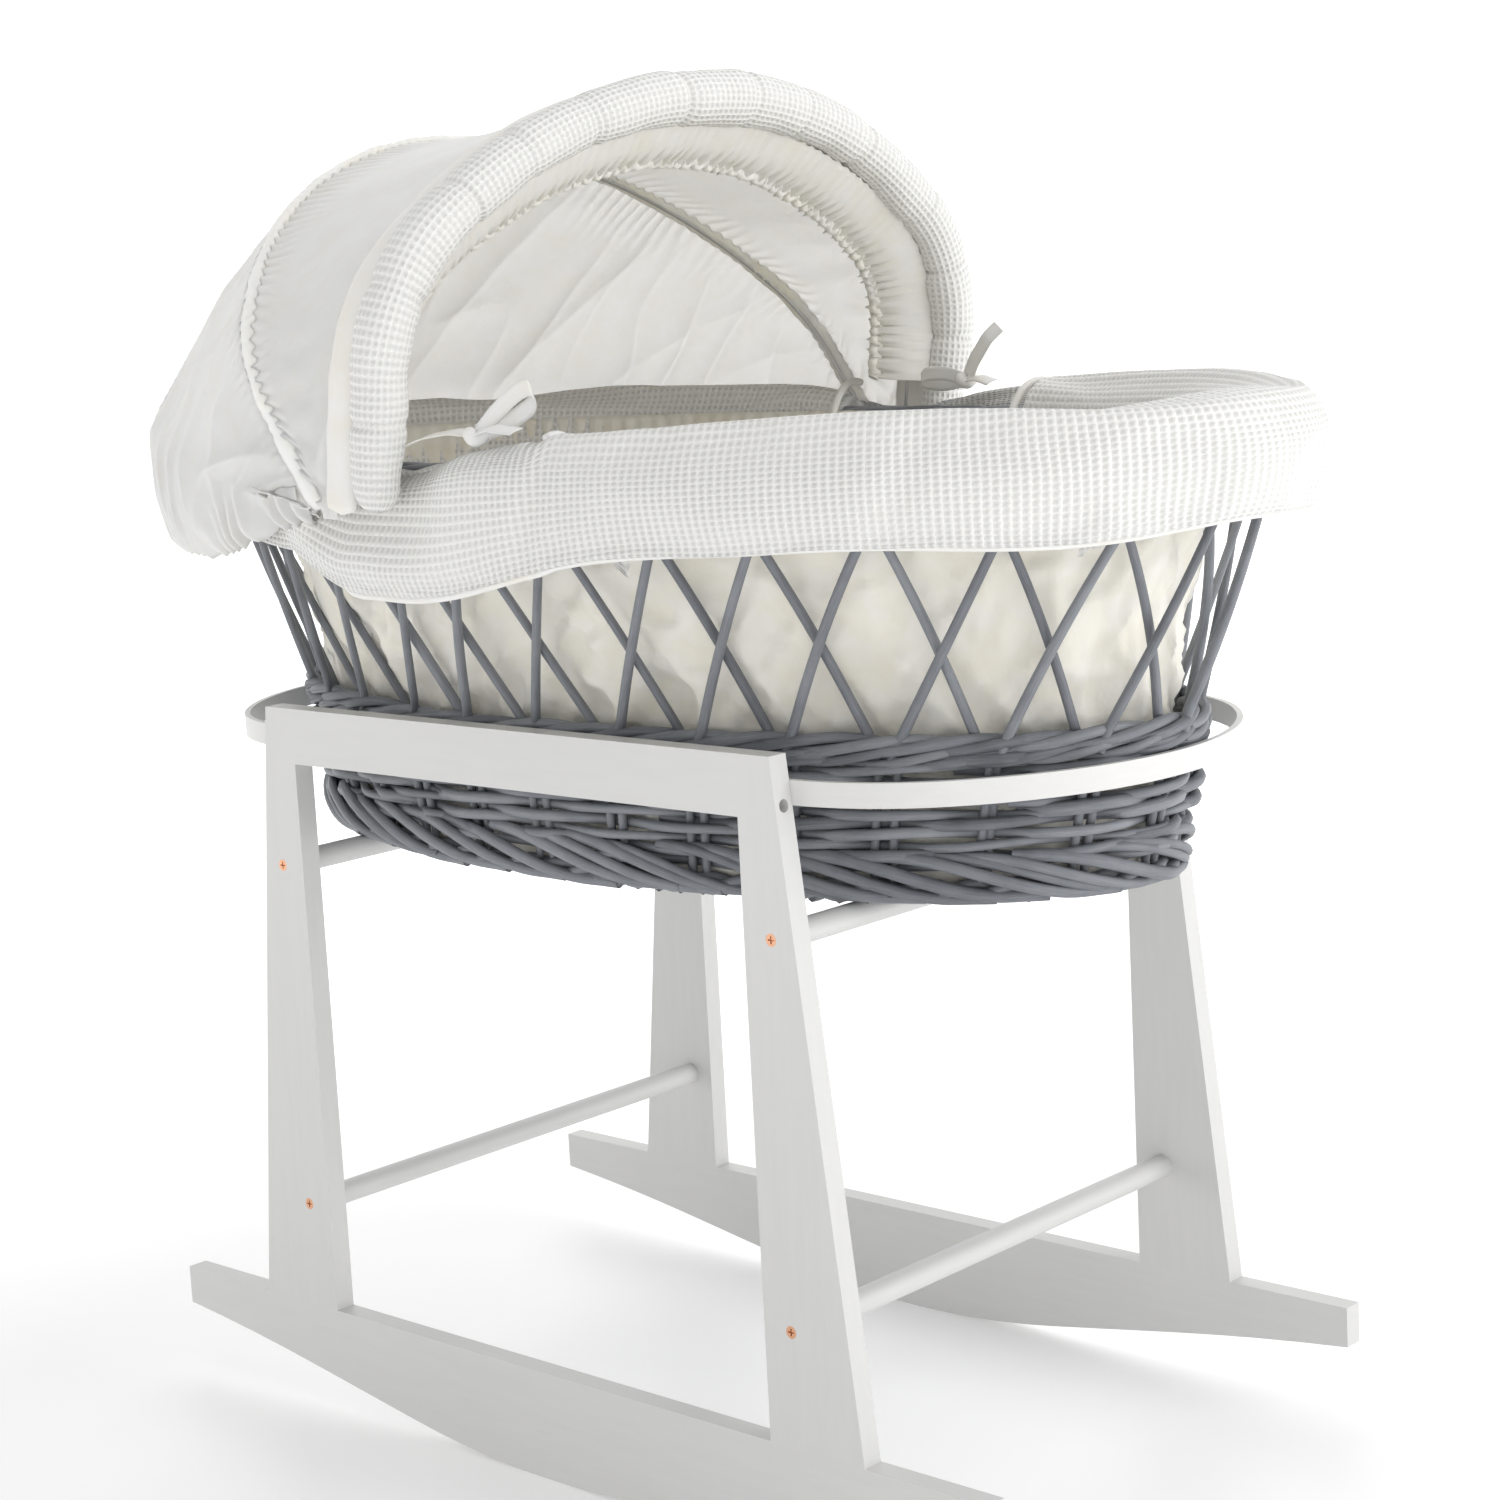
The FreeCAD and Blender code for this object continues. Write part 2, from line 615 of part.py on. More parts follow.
def bentStrip(sign):
    """A lath on edge: flat along both boards, bent out round the end of the basket."""
    inner = half - thick
    reach = val("stripReach") - val("stripStart")
    z = val("standHeight") - val("stripDrop") - val("stripTall")
    outer = Part.Wire(archEdges(inner, reach, 1, val("stripCorner"), -val("stripTail")))
    lathThick = val("stripThick")
    within = Part.Wire(archEdges(inner - lathThick, reach - lathThick, 1,
                                 val("stripCorner") - lathThick, -val("stripTail")))
    ends = []
    for side in (-1, 1):
        ends.append(Part.LineSegment(Vector(side * inner, -val("stripTail"), 0),
                                     Vector(side * (inner - lathThick), -val("stripTail"), 0)).toShape())
    loop = Part.Wire(Part.sortEdges(outer.Edges + within.Edges + ends)[0])
    solid = Part.Face(loop).extrude(Vector(0, 0, val("stripTall")))
    solid.rotate(Vector(0, 0, 0), Vector(0, 0, 1), -90)
    solid.translate(Vector(val("stripStart"), 0, z))
    if sign < 0:
        solid.rotate(Vector(0, 0, 0), Vector(0, 0, 1), 180)
    for face in (-1, 1):
        tip = Vector(sign * stripScrewX, face * (half - thick - lathThick), stripZ)
        gap = val("fastenerGap")
        solid = solid.cut(Part.makeCylinder(val("stripScrewDia") / 2 + gap, 3 * lathThick,
                                            tip, Vector(0, face, 0)))
        solid = solid.cut(Part.makeCone(val("stripScrewHead") / 2 + gap,
                                        val("stripScrewDia") / 2 + gap, val("stripScrewHeadTall"), tip,
                                        Vector(0, face, 0)))
    return solid


fromShapes("strip_foot", [bentStrip(1)])
fromShapes("strip_head", [bentStrip(-1)])

# ---- basket ----

# the woven bands, stacked from the upper dowels with a small gap under each
bands = ["footBorderTall", "sideWeaveTall", "waistTall", "latticeTall", "rimTall"]


def bandRule(count):
    """The bottom of a band as a rule for the sheet."""
    return "(Sizes.upperDowelZ + Sizes.dowelDia / 2 + %d * Sizes.restGap%s)" % (
        count + 1, "".join(" + Sizes." + band for band in bands[:count]))


def bandLevel(count):
    """The same height as a number."""
    return (val("upperDowelZ") + val("dowelDia") / 2 + (count + 1) * val("restGap")
            + sum(val(band) for band in bands[:count]))


baseZ = bandRule(0)
sideZ = bandRule(1)
waistZ = bandRule(2)
latticeZ = bandRule(3)
rimZ = bandRule(4)
rimTopZ = "(%s + Sizes.rimTall)" % rimZ
rimTop = bandLevel(4) + val("rimTall")


def ringLoft(name, levels, wall):
    """A woven band: an oval solid less the same solid set in by the wall."""
    outer = ovalLoft(name + "Outer", levels)
    low, high = levels[0], levels[-1]
    inside = [("%s - %s" % (low[0], wall), "%s - %s" % (low[1], wall), low[2] + " - 1"),
              ("%s - %s" % (high[0], wall), "%s - %s" % (high[1], wall), high[2] + " + 1")]
    return cut(name, outer, [ovalLoft(name + "Inner", inside)])


baseLong = "Sizes.basketBaseLong"
baseWide = "Sizes.basketBaseWide"
waistLong = "Sizes.basketWaistLong"
waistWide = "Sizes.basketWaistWide"
node(ovalLoft("basketBase", [(baseLong + " - Sizes.weaveThick - Sizes.restGap",
                              baseWide + " - Sizes.weaveThick - Sizes.restGap", baseZ),
                             (baseLong + " - Sizes.weaveThick - Sizes.restGap",
                              baseWide + " - Sizes.weaveThick - Sizes.restGap",
                              baseZ + " + Sizes.baseThick")]), "basket_base")
node(ringLoft("footBorder", [(baseLong + " + Sizes.borderProud", baseWide + " + Sizes.borderProud", baseZ),
                             (baseLong + " + Sizes.borderProud", baseWide + " + Sizes.borderProud",
                              baseZ + " + Sizes.footBorderTall")],
              "(Sizes.weaveThick + Sizes.borderProud)"), "foot_border")
node(ringLoft("sideWeave", [(baseLong, baseWide, sideZ),
                            (waistLong, waistWide, sideZ + " + Sizes.sideWeaveTall")],
              "Sizes.weaveThick"), "side_weave")
braidLong = waistLong + " + Sizes.borderProud / 2"
braidWide = waistWide + " + Sizes.borderProud / 2"
node(ringLoft("waistBraid", [(braidLong, braidWide, waistZ),
                             (braidLong, braidWide, waistZ + " + Sizes.waistTall")],
              "(Sizes.weaveThick + Sizes.borderProud)"), "waist_braid")
node(ringLoft("rimBorder", [("Sizes.basketRimLong - Sizes.borderProud",
                             "Sizes.basketRimWide - Sizes.borderProud", rimZ),
                            ("Sizes.basketRimLong + Sizes.borderProud",
                             "Sizes.basketRimWide + Sizes.borderProud", rimTopZ)],
              "Sizes.rimThick"), "rim_border")


def ovalPoint(longHalf, wideHalf, share, z, steps=720):
    """The point that lies the given share of the way round an ellipse, counted along its length."""
    share = share % 1.0
    angles = [2 * math.pi * i / steps for i in range(steps + 1)]
    points = [(longHalf * math.cos(a), wideHalf * math.sin(a)) for a in angles]
    lengths = [0.0]
    for first, second in zip(points, points[1:]):
        lengths.append(lengths[-1] + math.dist(first, second))
    target = share * lengths[-1]
    i = max(k for k in range(steps) if lengths[k] <= target)
    part = (target - lengths[i]) / (lengths[i + 1] - lengths[i])
    angle = angles[i] + part * (angles[i + 1] - angles[i])
    return Vector(val("basketShift") + longHalf * math.cos(angle), wideHalf * math.sin(angle), z)


def leaningRods(label, direction, layer):
    """One family of rods, each from the waist to the rim, leaning along the wall."""
    count = int(val("rodPairs"))
    radius = val("rodDia") / 2
    depth = radius + layer * (2 * radius + val("rodLayerGap"))
    low = bandLevel(3) + val("rodEndGap")
    high = bandLevel(3) + val("latticeTall") - val("rodEndGap")
    spread = val("rodSpread")
    rods = []
    for i in range(count):
        near = (i + spread * direction) / count
        far = (i + direction * val("rodLean")) / count
        start = ovalPoint(val("basketWaistLong") - depth, val("basketWaistWide") - depth, near, low)
        end = ovalPoint(val("basketRimLong") - depth, val("basketRimWide") - depth, far, high)
        rods.append(Part.makeCylinder(radius, (end - start).Length, start, end - start))
    fromShapes(label, rods)


leaningRods("rods_leaning_foot", 1, 0)
leaningRods("rods_leaning_head", -1, 1)

linerBase = "(%s + Sizes.baseThick + Sizes.restGap)" % baseZ
linerTop = "(%s + Sizes.restGap)" % rimTopZ
innerLong = "(Sizes.basketRimLong - Sizes.linerInset - Sizes.borderProud)"
innerWide = "(Sizes.basketRimWide - Sizes.linerSideInset - Sizes.borderProud)"
wallBaseLong = baseLong + " - Sizes.weaveThick - 3"
wallBaseWide = baseWide + " - Sizes.weaveThick - 3"
wallZ = "(%s + Sizes.floorThick + Sizes.restGap)" % linerBase
wallOuter = [(wallBaseLong, wallBaseWide, wallZ),
             (waistLong + " - Sizes.linerInset", waistWide + " - Sizes.linerSideInset", latticeZ),
             (innerLong, innerWide, linerTop)]
wallInner = [(wallBaseLong + " - Sizes.linerThick", wallBaseWide + " - Sizes.linerThick", wallZ + " - 1"),
             (waistLong + " - Sizes.linerInset - Sizes.linerThick",
              waistWide + " - Sizes.linerSideInset - Sizes.linerThick", latticeZ),
             (innerLong + " - Sizes.linerThick + 0.5", innerWide + " - Sizes.linerThick + 0.5",
              linerTop + " + 2")]
node(cut("linerWall", ovalLoft("linerWallOuter", wallOuter), [ovalLoft("linerWallInner", wallInner)]),
     "liner_wall")
node(ovalLoft("linerFloor", [(wallBaseLong, wallBaseWide, linerBase),
                             (wallBaseLong, wallBaseWide, linerBase + " + Sizes.floorThick")]),
     "liner_floor")

# the quilted skirt goes up inside the rim, over it and down outside
skirtInLong = "(Sizes.basketRimLong + Sizes.borderProud + Sizes.skirtGap)"
skirtInWide = "(Sizes.basketRimWide + Sizes.borderProud + Sizes.skirtGap)"
skirtLong = "(%s + Sizes.skirtThick)" % skirtInLong
skirtWide = "(%s + Sizes.skirtThick + Sizes.skirtSideExtra)" % skirtInWide
skirtZ = "(%s - Sizes.skirtDrop)" % rimTopZ
skirtTopZ = "(%s + Sizes.skirtRise)" % rimTopZ
skirtOuter = [(skirtLong + " - Sizes.skirtThick / 2", skirtWide + " - Sizes.skirtThick / 2", skirtZ),
              (skirtLong + " - Sizes.skirtThick / 5", skirtWide + " - Sizes.skirtThick / 5",
               skirtZ + " + Sizes.skirtDrop / 2"),
              (skirtLong, skirtWide, skirtZ + " + Sizes.skirtDrop"),
              (skirtLong + " - Sizes.skirtThick / 4", skirtWide + " - Sizes.skirtThick / 4",
               skirtTopZ + " - Sizes.skirtRise / 3"),
              (skirtLong + " - 0.7 * Sizes.skirtThick", skirtWide + " - 0.7 * Sizes.skirtThick", skirtTopZ)]
below = [(skirtInLong, skirtInWide, skirtZ + " - 1"),
         (skirtInLong, skirtInWide, rimTopZ + " + Sizes.skirtGap")]
above = [(innerLong + " + Sizes.skirtGap", innerWide + " + Sizes.skirtGap", rimTopZ + " - 1"),
         (innerLong + " + Sizes.skirtGap", innerWide + " + Sizes.skirtGap", skirtTopZ + " + 1")]
slots = []
for label, sign in (("Near", -1), ("Far", 1)):
    slot = doc.addObject("Part::Box", "slot" + label)
    bind(slot, Length="Sizes.slotLength", Width="Sizes.slotWide", Height="3 * Sizes.skirtRise",
         Placement_Base_x="Sizes.slotShift - Sizes.slotLength / 2",
         Placement_Base_y="%d * (Sizes.basketRimWide - Sizes.slotWide / 2) - Sizes.slotWide / 2" % sign,
         Placement_Base_z=rimTopZ)
    slots.append(slot)
skirtTools = [ovalLoft("skirtBelow", below), ovalLoft("skirtAbove", above)] + slots
node(cut("quiltedSkirt", ovalLoft("skirtOuter", skirtOuter), skirtTools), "quilted_skirt")
bindingZ = "(%s - Sizes.bindingTall - Sizes.restGap)" % skirtZ
bindLong = skirtLong + " - Sizes.skirtThick / 2"
bindWide = skirtWide + " - Sizes.skirtThick / 2"
node(ringLoft("skirtBinding", [(bindLong, bindWide, bindingZ),
                               (bindLong, bindWide, bindingZ + " + Sizes.bindingTall")],
              "Sizes.bindingTall"), "skirt_binding")

# ---- mattress ----

bedZ = "(%s + Sizes.restGap)" % wallZ
bedLong = "Sizes.mattressLong / 2"
bedWide = "Sizes.mattressWide / 2"
node(ovalLoft("mattress", [(bedLong + " - Sizes.mattressRound", bedWide + " - Sizes.mattressRound", bedZ),
                           (bedLong, bedWide, bedZ + " + Sizes.mattressRound"),
                           (bedLong, bedWide, bedZ + " + Sizes.mattressThick - Sizes.mattressRound"),
                           (bedLong + " - Sizes.mattressRound", bedWide + " - Sizes.mattressRound",
                            bedZ + " + Sizes.mattressThick")]), "mattress")

# ---- hood ----

leg = val("hoopLeg")
corner = val("hoopCorner")
footZ = val("hoodFootZ")
wireRadius = val("wireDia") / 2
casingRadius = val("casingDia") / 2
bore = wireRadius + val("wireGap")
frontPlace = archPlane(val("frontWireShift"), footZ, val("frontLean"))
midPlace = archPlane(val("midWireShift"), footZ, val("midLean"))
rollPlace = archPlane(val("rollShift"), footZ, val("frontLean"))


def startAbove(lean, radius=0.0):
    """How far up a leaning arch the soft pieces begin, so that they clear the skirt."""
    tilt = math.radians(lean)
    return (val("softBase") - footZ + radius * abs(math.sin(tilt))) / math.cos(tilt)


def capPair(width, place):
    """Rounded plastic caps on a hoop's two ends."""
    caps = []
    radius = val("capDia") / 2
    for side in (-1, 1):
        cap = Part.makeCylinder(radius, val("capTall"), Vector(side * width, -val("capTall") / 2, 0),
                                Vector(0, 1, 0))
        cap = cap.fuse(Part.makeSphere(radius, Vector(side * width, -val("capTall") / 2, 0)))
        hole = Part.makeCylinder(bore, val("capTall"), Vector(side * width, 0, 0), Vector(0, 1, 0))
        cap = cap.cut(hole)
        cap.Placement = place.multiply(cap.Placement)
        caps.append(cap)
    return caps


frontWidth = val("frontWireWide")
frontTall = val("frontWireTall")
midWidth = val("midWireWide")
midTall = val("midWireTall")
frontPath = archWire(frontWidth, frontTall, frontPlace, leg, corner)
midPath = archWire(midWidth, midTall, midPlace, leg, corner)
fromShapes("front_hoop_wire", [tube(frontPath, wireRadius)])
fromShapes("mid_hoop_wire", [tube(midPath, wireRadius)])
fromShapes("front_wire_caps", capPair(frontWidth, frontPlace))
fromShapes("mid_wire_caps", capPair(midWidth, midPlace))
frontStart = startAbove(val("frontLean"), casingRadius)
midStart = startAbove(val("midLean"), casingRadius)
fromShapes("front_casing", [tube(archWire(frontWidth, frontTall, frontPlace, leg, corner, frontStart),
                                 casingRadius, bore)])
fromShapes("mid_casing", [tube(archWire(midWidth, midTall, midPlace, leg, corner, midStart),
                               casingRadius, bore)])
rollRadius = val("rollDia") / 2
rollStart = startAbove(val("frontLean"), rollRadius)
fromShapes("front_roll", [tube(archWire(val("rollWide"), val("rollTall"), rollPlace, leg, corner,
                                        rollStart), rollRadius)])


def shell(label, outer, inner):
    """A thin curved wall: one loft less a slightly smaller, slightly longer one."""
    body = Part.makeLoft(outer, True, True)
    hollow = Part.makeLoft(inner, True, True)
    fromShapes(label, [body.cut(hollow)])


panel = val("panelThick")
gap = casingRadius + val("panelGap")


def section(width, tall, shift, base, lean, start, inset=0.0, down=0.0, legs=leg, bend=corner):
    """One closed arch of a panel, drawn inset and with its feet lowered for the inner loft."""
    return archFace(width - inset, tall - inset, archPlane(shift, base, lean), legs, bend - inset,
                    start - down)


# the ruffle: a gathered facing inside the hood, from the roll back to its elastic edge
ruffleStart = startAbove(val("frontLean"), 0.0) + 1
inset = rollRadius + val("ruffleGap")
elastic = inset + val("ruffleInset")
ruffleFront = (val("rollWide") - inset, val("rollTall") - inset, val("rollShift"))
ruffleBack = (val("rollWide") - elastic, val("rollTall") - elastic, val("rollShift") - val("ruffleDeep"))
beyond = 2.0
feetDown = 8.0
shell("ruffle",
      [section(*ruffleFront, footZ, val("frontLean"), ruffleStart, bend=corner - inset),
       section(*ruffleBack, footZ, val("frontLean"), ruffleStart, bend=corner - elastic)],
      [section(*ruffleFront[:2], ruffleFront[2] + beyond, footZ, val("frontLean"), ruffleStart,
               panel, feetDown, bend=corner - inset),
       section(*ruffleBack[:2], ruffleBack[2] - beyond, footZ, val("frontLean"), ruffleStart,
               panel, feetDown, bend=corner - elastic)])

# the front panel spans the two hoops
frontBack = (frontWidth + panel / 2, frontTall + panel / 2, val("frontWireShift") - gap, footZ,
             val("frontLean"))
midFore = (midWidth + panel / 2, midTall + panel / 2, val("midWireShift") + gap, footZ, val("midLean"))
panelStart = startAbove(val("midLean"), casingRadius)
shell("hood_front_panel",
      [section(*frontBack, frontStart), section(*midFore, panelStart)],
      [section(frontBack[0], frontBack[1], frontBack[2] + beyond, footZ, val("frontLean"),
               frontStart, panel, feetDown),
       section(midFore[0], midFore[1], midFore[2] - beyond, footZ, val("midLean"),
               panelStart, panel, feetDown)])

# the back panel swells out behind the rear hoop and closes under the rim's skirt
hoopBack = val("midWireShift") - gap
hemX = hoopBack - val("hemBehind")
reach = val("hoodReach") - val("basketShift") + hemX
hemTall = val("hemReach") - val("basketShift") + hemX
hemRound = val("hemRound")
straight = 2.0
backSections = [
    (midWidth + hemRound, midTall + panel, hoopBack, footZ, val("midLean"), leg, corner),
    (val("hoodWide") - hemRound, val("hoodBackTall"), hoopBack - hemRound, footZ - hemRound / 2,
     val("hoodBackLean"), val("hoodBackLeg"), val("hoodBackCorner")),
    (val("hoodWide") - hemRound / 2, reach - val("shoulderIn"), hemX + hemRound, footZ - hemRound,
     val("shoulderLean"), 5 * straight, val("shoulderCorner")),
    (val("hoodWide") - hemRound, reach, hemX, footZ - 2 * hemRound, -90.0, straight, val("hemCorner")),
    (val("hemWide") - hemRound, hemTall, hemX, val("hemZ"), -90.0, straight, val("hemCorner"))]
lastSection = len(backSections) - 1
backInner = []
for i, (wide, tall, x, z, lean, legs, bend) in enumerate(backSections):
    x += beyond if i == 0 else 0
    z -= beyond if i == lastSection else 0
    backInner.append(section(wide, tall, x, z, lean, 0.0, panel, feetDown, legs, bend))
shell("hood_back_panel",
      [section(wide, tall, x, z, lean, 0.0, legs=legs, bend=bend)
       for wide, tall, x, z, lean, legs, bend in backSections], backInner)

# ---- ribbon ties, knotted over the skirt in front of the hood's feet ----

skirtTop = rimTop + val("skirtRise")
for label, sign, tieX in (("tie_near", -1, val("nearTieX")), ("tie_far", 1, val("farTieX"))):
    tieY = sign * (val("basketRimWide") + val("skirtThick") / 4)
    knotRadius = val("tieKnot") / 2
    base = Vector(tieX, tieY, skirtTop + val("restGap") + knotRadius * 0.6)
    knot = Part.makeSphere(knotRadius, Vector(0, 0, 0))
    squeeze = FreeCAD.Matrix()
    squeeze.scale(1.3, 1.0, 0.6)
    knot = knot.transformGeometry(squeeze)
    knot.translate(base)
    tail = Part.makeBox(val("tieLength"), val("tieWide"), val("tieThick"))
    tail.translate(Vector(tieX - val("tieLength") / 4, tieY - val("tieWide") / 2,
                          skirtTop + val("restGap")))
    fromShapes(label, [knot.fuse(tail)])

# ---- check and write ----

doc.recompute()
for obj in doc.Objects:
    if "Invalid" in obj.State or "Error" in obj.State:
        raise RuntimeError("%s failed: %s" % (obj.Name, obj.State))
for obj in nodes:
    if obj.Shape.isNull() or not obj.Shape.isValid():
        raise RuntimeError("%s has a bad shape" % obj.Label)
    if not obj.Shape.Solids:
        raise RuntimeError("%s has no solid" % obj.Label)
for obj in nodes:
    obj.Shape.exportStep("parts/%s.step" % obj.Label)
    box = obj.Shape.BoundBox
    print("%-20s %3d solids %10.0f mm3  X %7.1f %7.1f  Y %7.1f %7.1f  Z %6.1f %6.1f" % (
        obj.Label, len(obj.Shape.Solids), obj.Shape.Volume, box.XMin, box.XMax, box.YMin, box.YMax,
        box.ZMin, box.ZMax))
print("%d sub-parts" % len(nodes))
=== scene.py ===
import bpy
import numpy as np
from mathutils import Matrix, Vector


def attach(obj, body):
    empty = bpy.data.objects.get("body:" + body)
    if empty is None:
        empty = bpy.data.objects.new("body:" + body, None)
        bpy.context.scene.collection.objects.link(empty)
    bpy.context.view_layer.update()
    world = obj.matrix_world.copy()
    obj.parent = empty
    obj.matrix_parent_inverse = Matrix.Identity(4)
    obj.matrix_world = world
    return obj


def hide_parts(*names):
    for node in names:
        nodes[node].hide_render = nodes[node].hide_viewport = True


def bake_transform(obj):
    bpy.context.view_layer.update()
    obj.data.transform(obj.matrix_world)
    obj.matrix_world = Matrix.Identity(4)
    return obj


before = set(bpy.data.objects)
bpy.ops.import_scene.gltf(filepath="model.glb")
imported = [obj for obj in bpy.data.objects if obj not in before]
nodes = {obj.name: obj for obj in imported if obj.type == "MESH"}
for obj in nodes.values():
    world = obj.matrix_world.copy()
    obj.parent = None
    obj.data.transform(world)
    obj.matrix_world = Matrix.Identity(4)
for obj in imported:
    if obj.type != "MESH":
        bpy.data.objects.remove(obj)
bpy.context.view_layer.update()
print("frame loaded:", len(nodes), "nodes")

# lengths are metres: origin on the floor, +X to the foot end, -Y the near side, +Z up


def xyz(x, y, z):
    # three arrays of coordinates, spread to one shape and stacked into points
    return np.stack(np.broadcast_arrays(x, y, z), -1)


def addMesh(name, points, faces, uv, tone=None):
    # one smooth mesh object from a vertex array and a list of faces; uv holds one pair per face corner
    mesh = bpy.data.meshes.new(name)
    mesh.from_pydata(points.reshape(-1, 3).tolist(), [], faces)
    layer = mesh.uv_layers.new(name="weave")
    layer.data.foreach_set("uv", uv.astype(np.float32).ravel())
    if tone is not None:
        attribute = mesh.attributes.new("tone", "FLOAT", "POINT")
        attribute.data.foreach_set("value", tone.astype(np.float32).ravel())
    mesh.polygons.foreach_set("use_smooth", np.ones(len(mesh.polygons), bool))
    mesh.update()
    obj = bpy.data.objects.new(name, mesh)
    bpy.context.scene.collection.objects.link(obj)
    return obj


def gridFaces(rows, cols, closeRows=False, closeCols=False):
    # quads of a rows x cols grid; closing joins the last row or column to the first
    r = np.arange(rows if closeRows else rows - 1)
    c = np.arange(cols if closeCols else cols - 1)
    i, j = np.meshgrid(r, c, indexing="ij")
    i2, j2 = (i + 1) % rows, (j + 1) % cols
    quads = np.stack([i * cols + j, i2 * cols + j, i2 * cols + j2, i * cols + j2], -1)
    return quads.reshape(-1, 4), i.ravel(), j.ravel()


def gridPiece(name, points, uLength, vLength, closeRows=False, closeCols=False, flip=False):
    # a surface given as a rows x cols array of points; its UV map is in metres along both ways
    rows, cols = points.shape[:2]
    faces, i, j = gridFaces(rows, cols, closeRows, closeCols)
    du = uLength / (rows if closeRows else rows - 1)
    dv = vLength / (cols if closeCols else cols - 1)
    corner = np.array([[0, 0], [1, 0], [1, 1], [0, 1]])
    uv = np.stack([(i[:, None] + corner[:, 0]) * du, (j[:, None] + corner[:, 1]) * dv], -1)
    if flip:
        faces, uv = faces[:, ::-1], uv[:, ::-1]
    return addMesh(name, points, faces.tolist(), uv)


def around(count):
    # that many angles evenly round a circle
    return np.linspace(0, 2 * np.pi, count, endpoint=False)


def shareRound(count):
    # that many shares of one turn, from 0 up to just under 1
    return np.linspace(0, 1, count, endpoint=False)


def unit(v):
    # each vector over its own length
    return v / np.maximum(np.linalg.norm(v, axis=-1, keepdims=True), 1e-12)


def tubes(name, paths, radius, sides=8, tones=None, closed=False, ref=(0.0, 0.0, 1.0), cutTone=None):
    # round rods: a circle square to the path is carried along each path of a count x steps x 3 array; an open
    # rod is closed by a fan at each end, whose middle takes the cut tone
    paths = np.asarray(paths, float)
    count, steps = paths.shape[:2]
    ahead = np.roll(paths, -1, 1) - np.roll(paths, 1, 1) if closed else np.gradient(paths, axis=1)
    tangent = unit(ahead)
    side = unit(np.cross(tangent, np.broadcast_to(np.asarray(ref, float), paths.shape)))
    up = np.cross(side, tangent)
    angle = around(sides)[:, None]
    radius = np.broadcast_to(np.asarray(radius, float), (count, steps))[..., None, None]
    ring = np.cos(angle) * side[:, :, None] + np.sin(angle) * up[:, :, None]
    points = (paths[:, :, None] + radius * ring).reshape(-1, 3)
    quads, i, j = gridFaces(steps, sides, closed, True)
    first = (np.arange(count) * steps * sides)[:, None]
    faces = (quads[:, ::-1] + first[..., None]).reshape(-1, 4).tolist()
    stepLong = np.linalg.norm(np.diff(paths, axis=1), axis=-1).mean()
    stepRound = float(radius.mean()) * 2 * np.pi / sides
    corner = np.array([[0, 1], [1, 1], [1, 0], [0, 0]])
    uv = np.stack([(i[:, None] + corner[:, 0]) * stepLong, (j[:, None] + corner[:, 1]) * stepRound], -1)
    offset = np.arange(count)[:, None, None, None] * np.array([0.37, 0.0])  # no two rods show the same streaks
    uv = (uv + offset).reshape(-1, 2)
    tones = np.zeros(count) if tones is None else np.asarray(tones, float)
    tone = np.repeat(tones, steps * sides)
    if not closed:
        k = np.arange(sides)
        middle = len(points) + 2 * np.arange(count)[:, None] + 0 * k
        last = first + (steps - 1) * sides
        low = np.stack([first + k, first + (k + 1) % sides, middle], -1)
        high = np.stack([last + (k + 1) % sides, last + k, middle + 1], -1)
        caps = np.concatenate([low.reshape(-1, 3), high.reshape(-1, 3)])
        faces += caps.tolist()
        uv = np.concatenate([uv, np.zeros((caps.size, 2))])
        points = np.concatenate([points, paths[:, [0, -1]].reshape(-1, 3)])
        tone = np.concatenate([tone, np.repeat(tones if cutTone is None else np.full(count, cutTone), 2)])
    return addMesh(name, points, faces, uv, tone)


def waves(points, seed, low, high, count=14):
    # smooth noise between about -1 and 1: a sum of sine waves in random directions
    rng = np.random.default_rng(seed)
    way = unit(rng.normal(size=(count, 3)))
    length = np.exp(rng.uniform(np.log(low), np.log(high), count))
    phase = rng.uniform(0, 2 * np.pi, count)
    angle = points @ (way / length[:, None] * 2 * np.pi).T + phase
    return np.sin(angle).sum(-1) / np.sqrt(count) * 0.8


def ease(x, low, high):
    # 0 below low, 1 above high, smooth between
    t = np.clip((x - low) / (high - low), 0, 1)
    return t * t * (3 - 2 * t)


def archLine(wide, tall, leg, corner, start, count):
    # half-width and height along an arch: straight leg, corner arc, crown arc, and the same back down
    rise = tall - leg
    crown = ((wide - corner) ** 2 + rise ** 2 - corner ** 2) / (2 * (rise - corner))
    centre = tall - crown
    turn = np.arctan2(leg - centre, wide - corner)
    if crown < corner:
        turn = np.arctan2(centre - leg, corner - wide)
    a = np.linspace(0, turn, 40)
    b = np.linspace(turn, np.pi / 2, 60)
    y = np.concatenate([[wide], wide - corner + corner * np.cos(a), crown * np.cos(b)])
    r = np.concatenate([[start], leg + corner * np.sin(a), centre + crown * np.sin(b)])
    y = np.concatenate([-y, y[::-1][1:]])
    r = np.concatenate([r, r[::-1][1:]])
    run = np.concatenate([[0], np.cumsum(np.hypot(np.diff(y), np.diff(r)))])
    at = np.linspace(0, run[-1], count)
    return np.stack([np.interp(at, run, y), np.interp(at, run, r)], -1), run[-1]


def leanArch(line, shift, base, lean):
    # an arch line stood up in a plane that leans from +Z towards +X by an angle in degrees
    lean = np.radians(lean)
    return xyz(shift + line[:, 1] * np.sin(lean), line[:, 0], base + line[:, 1] * np.cos(lean))


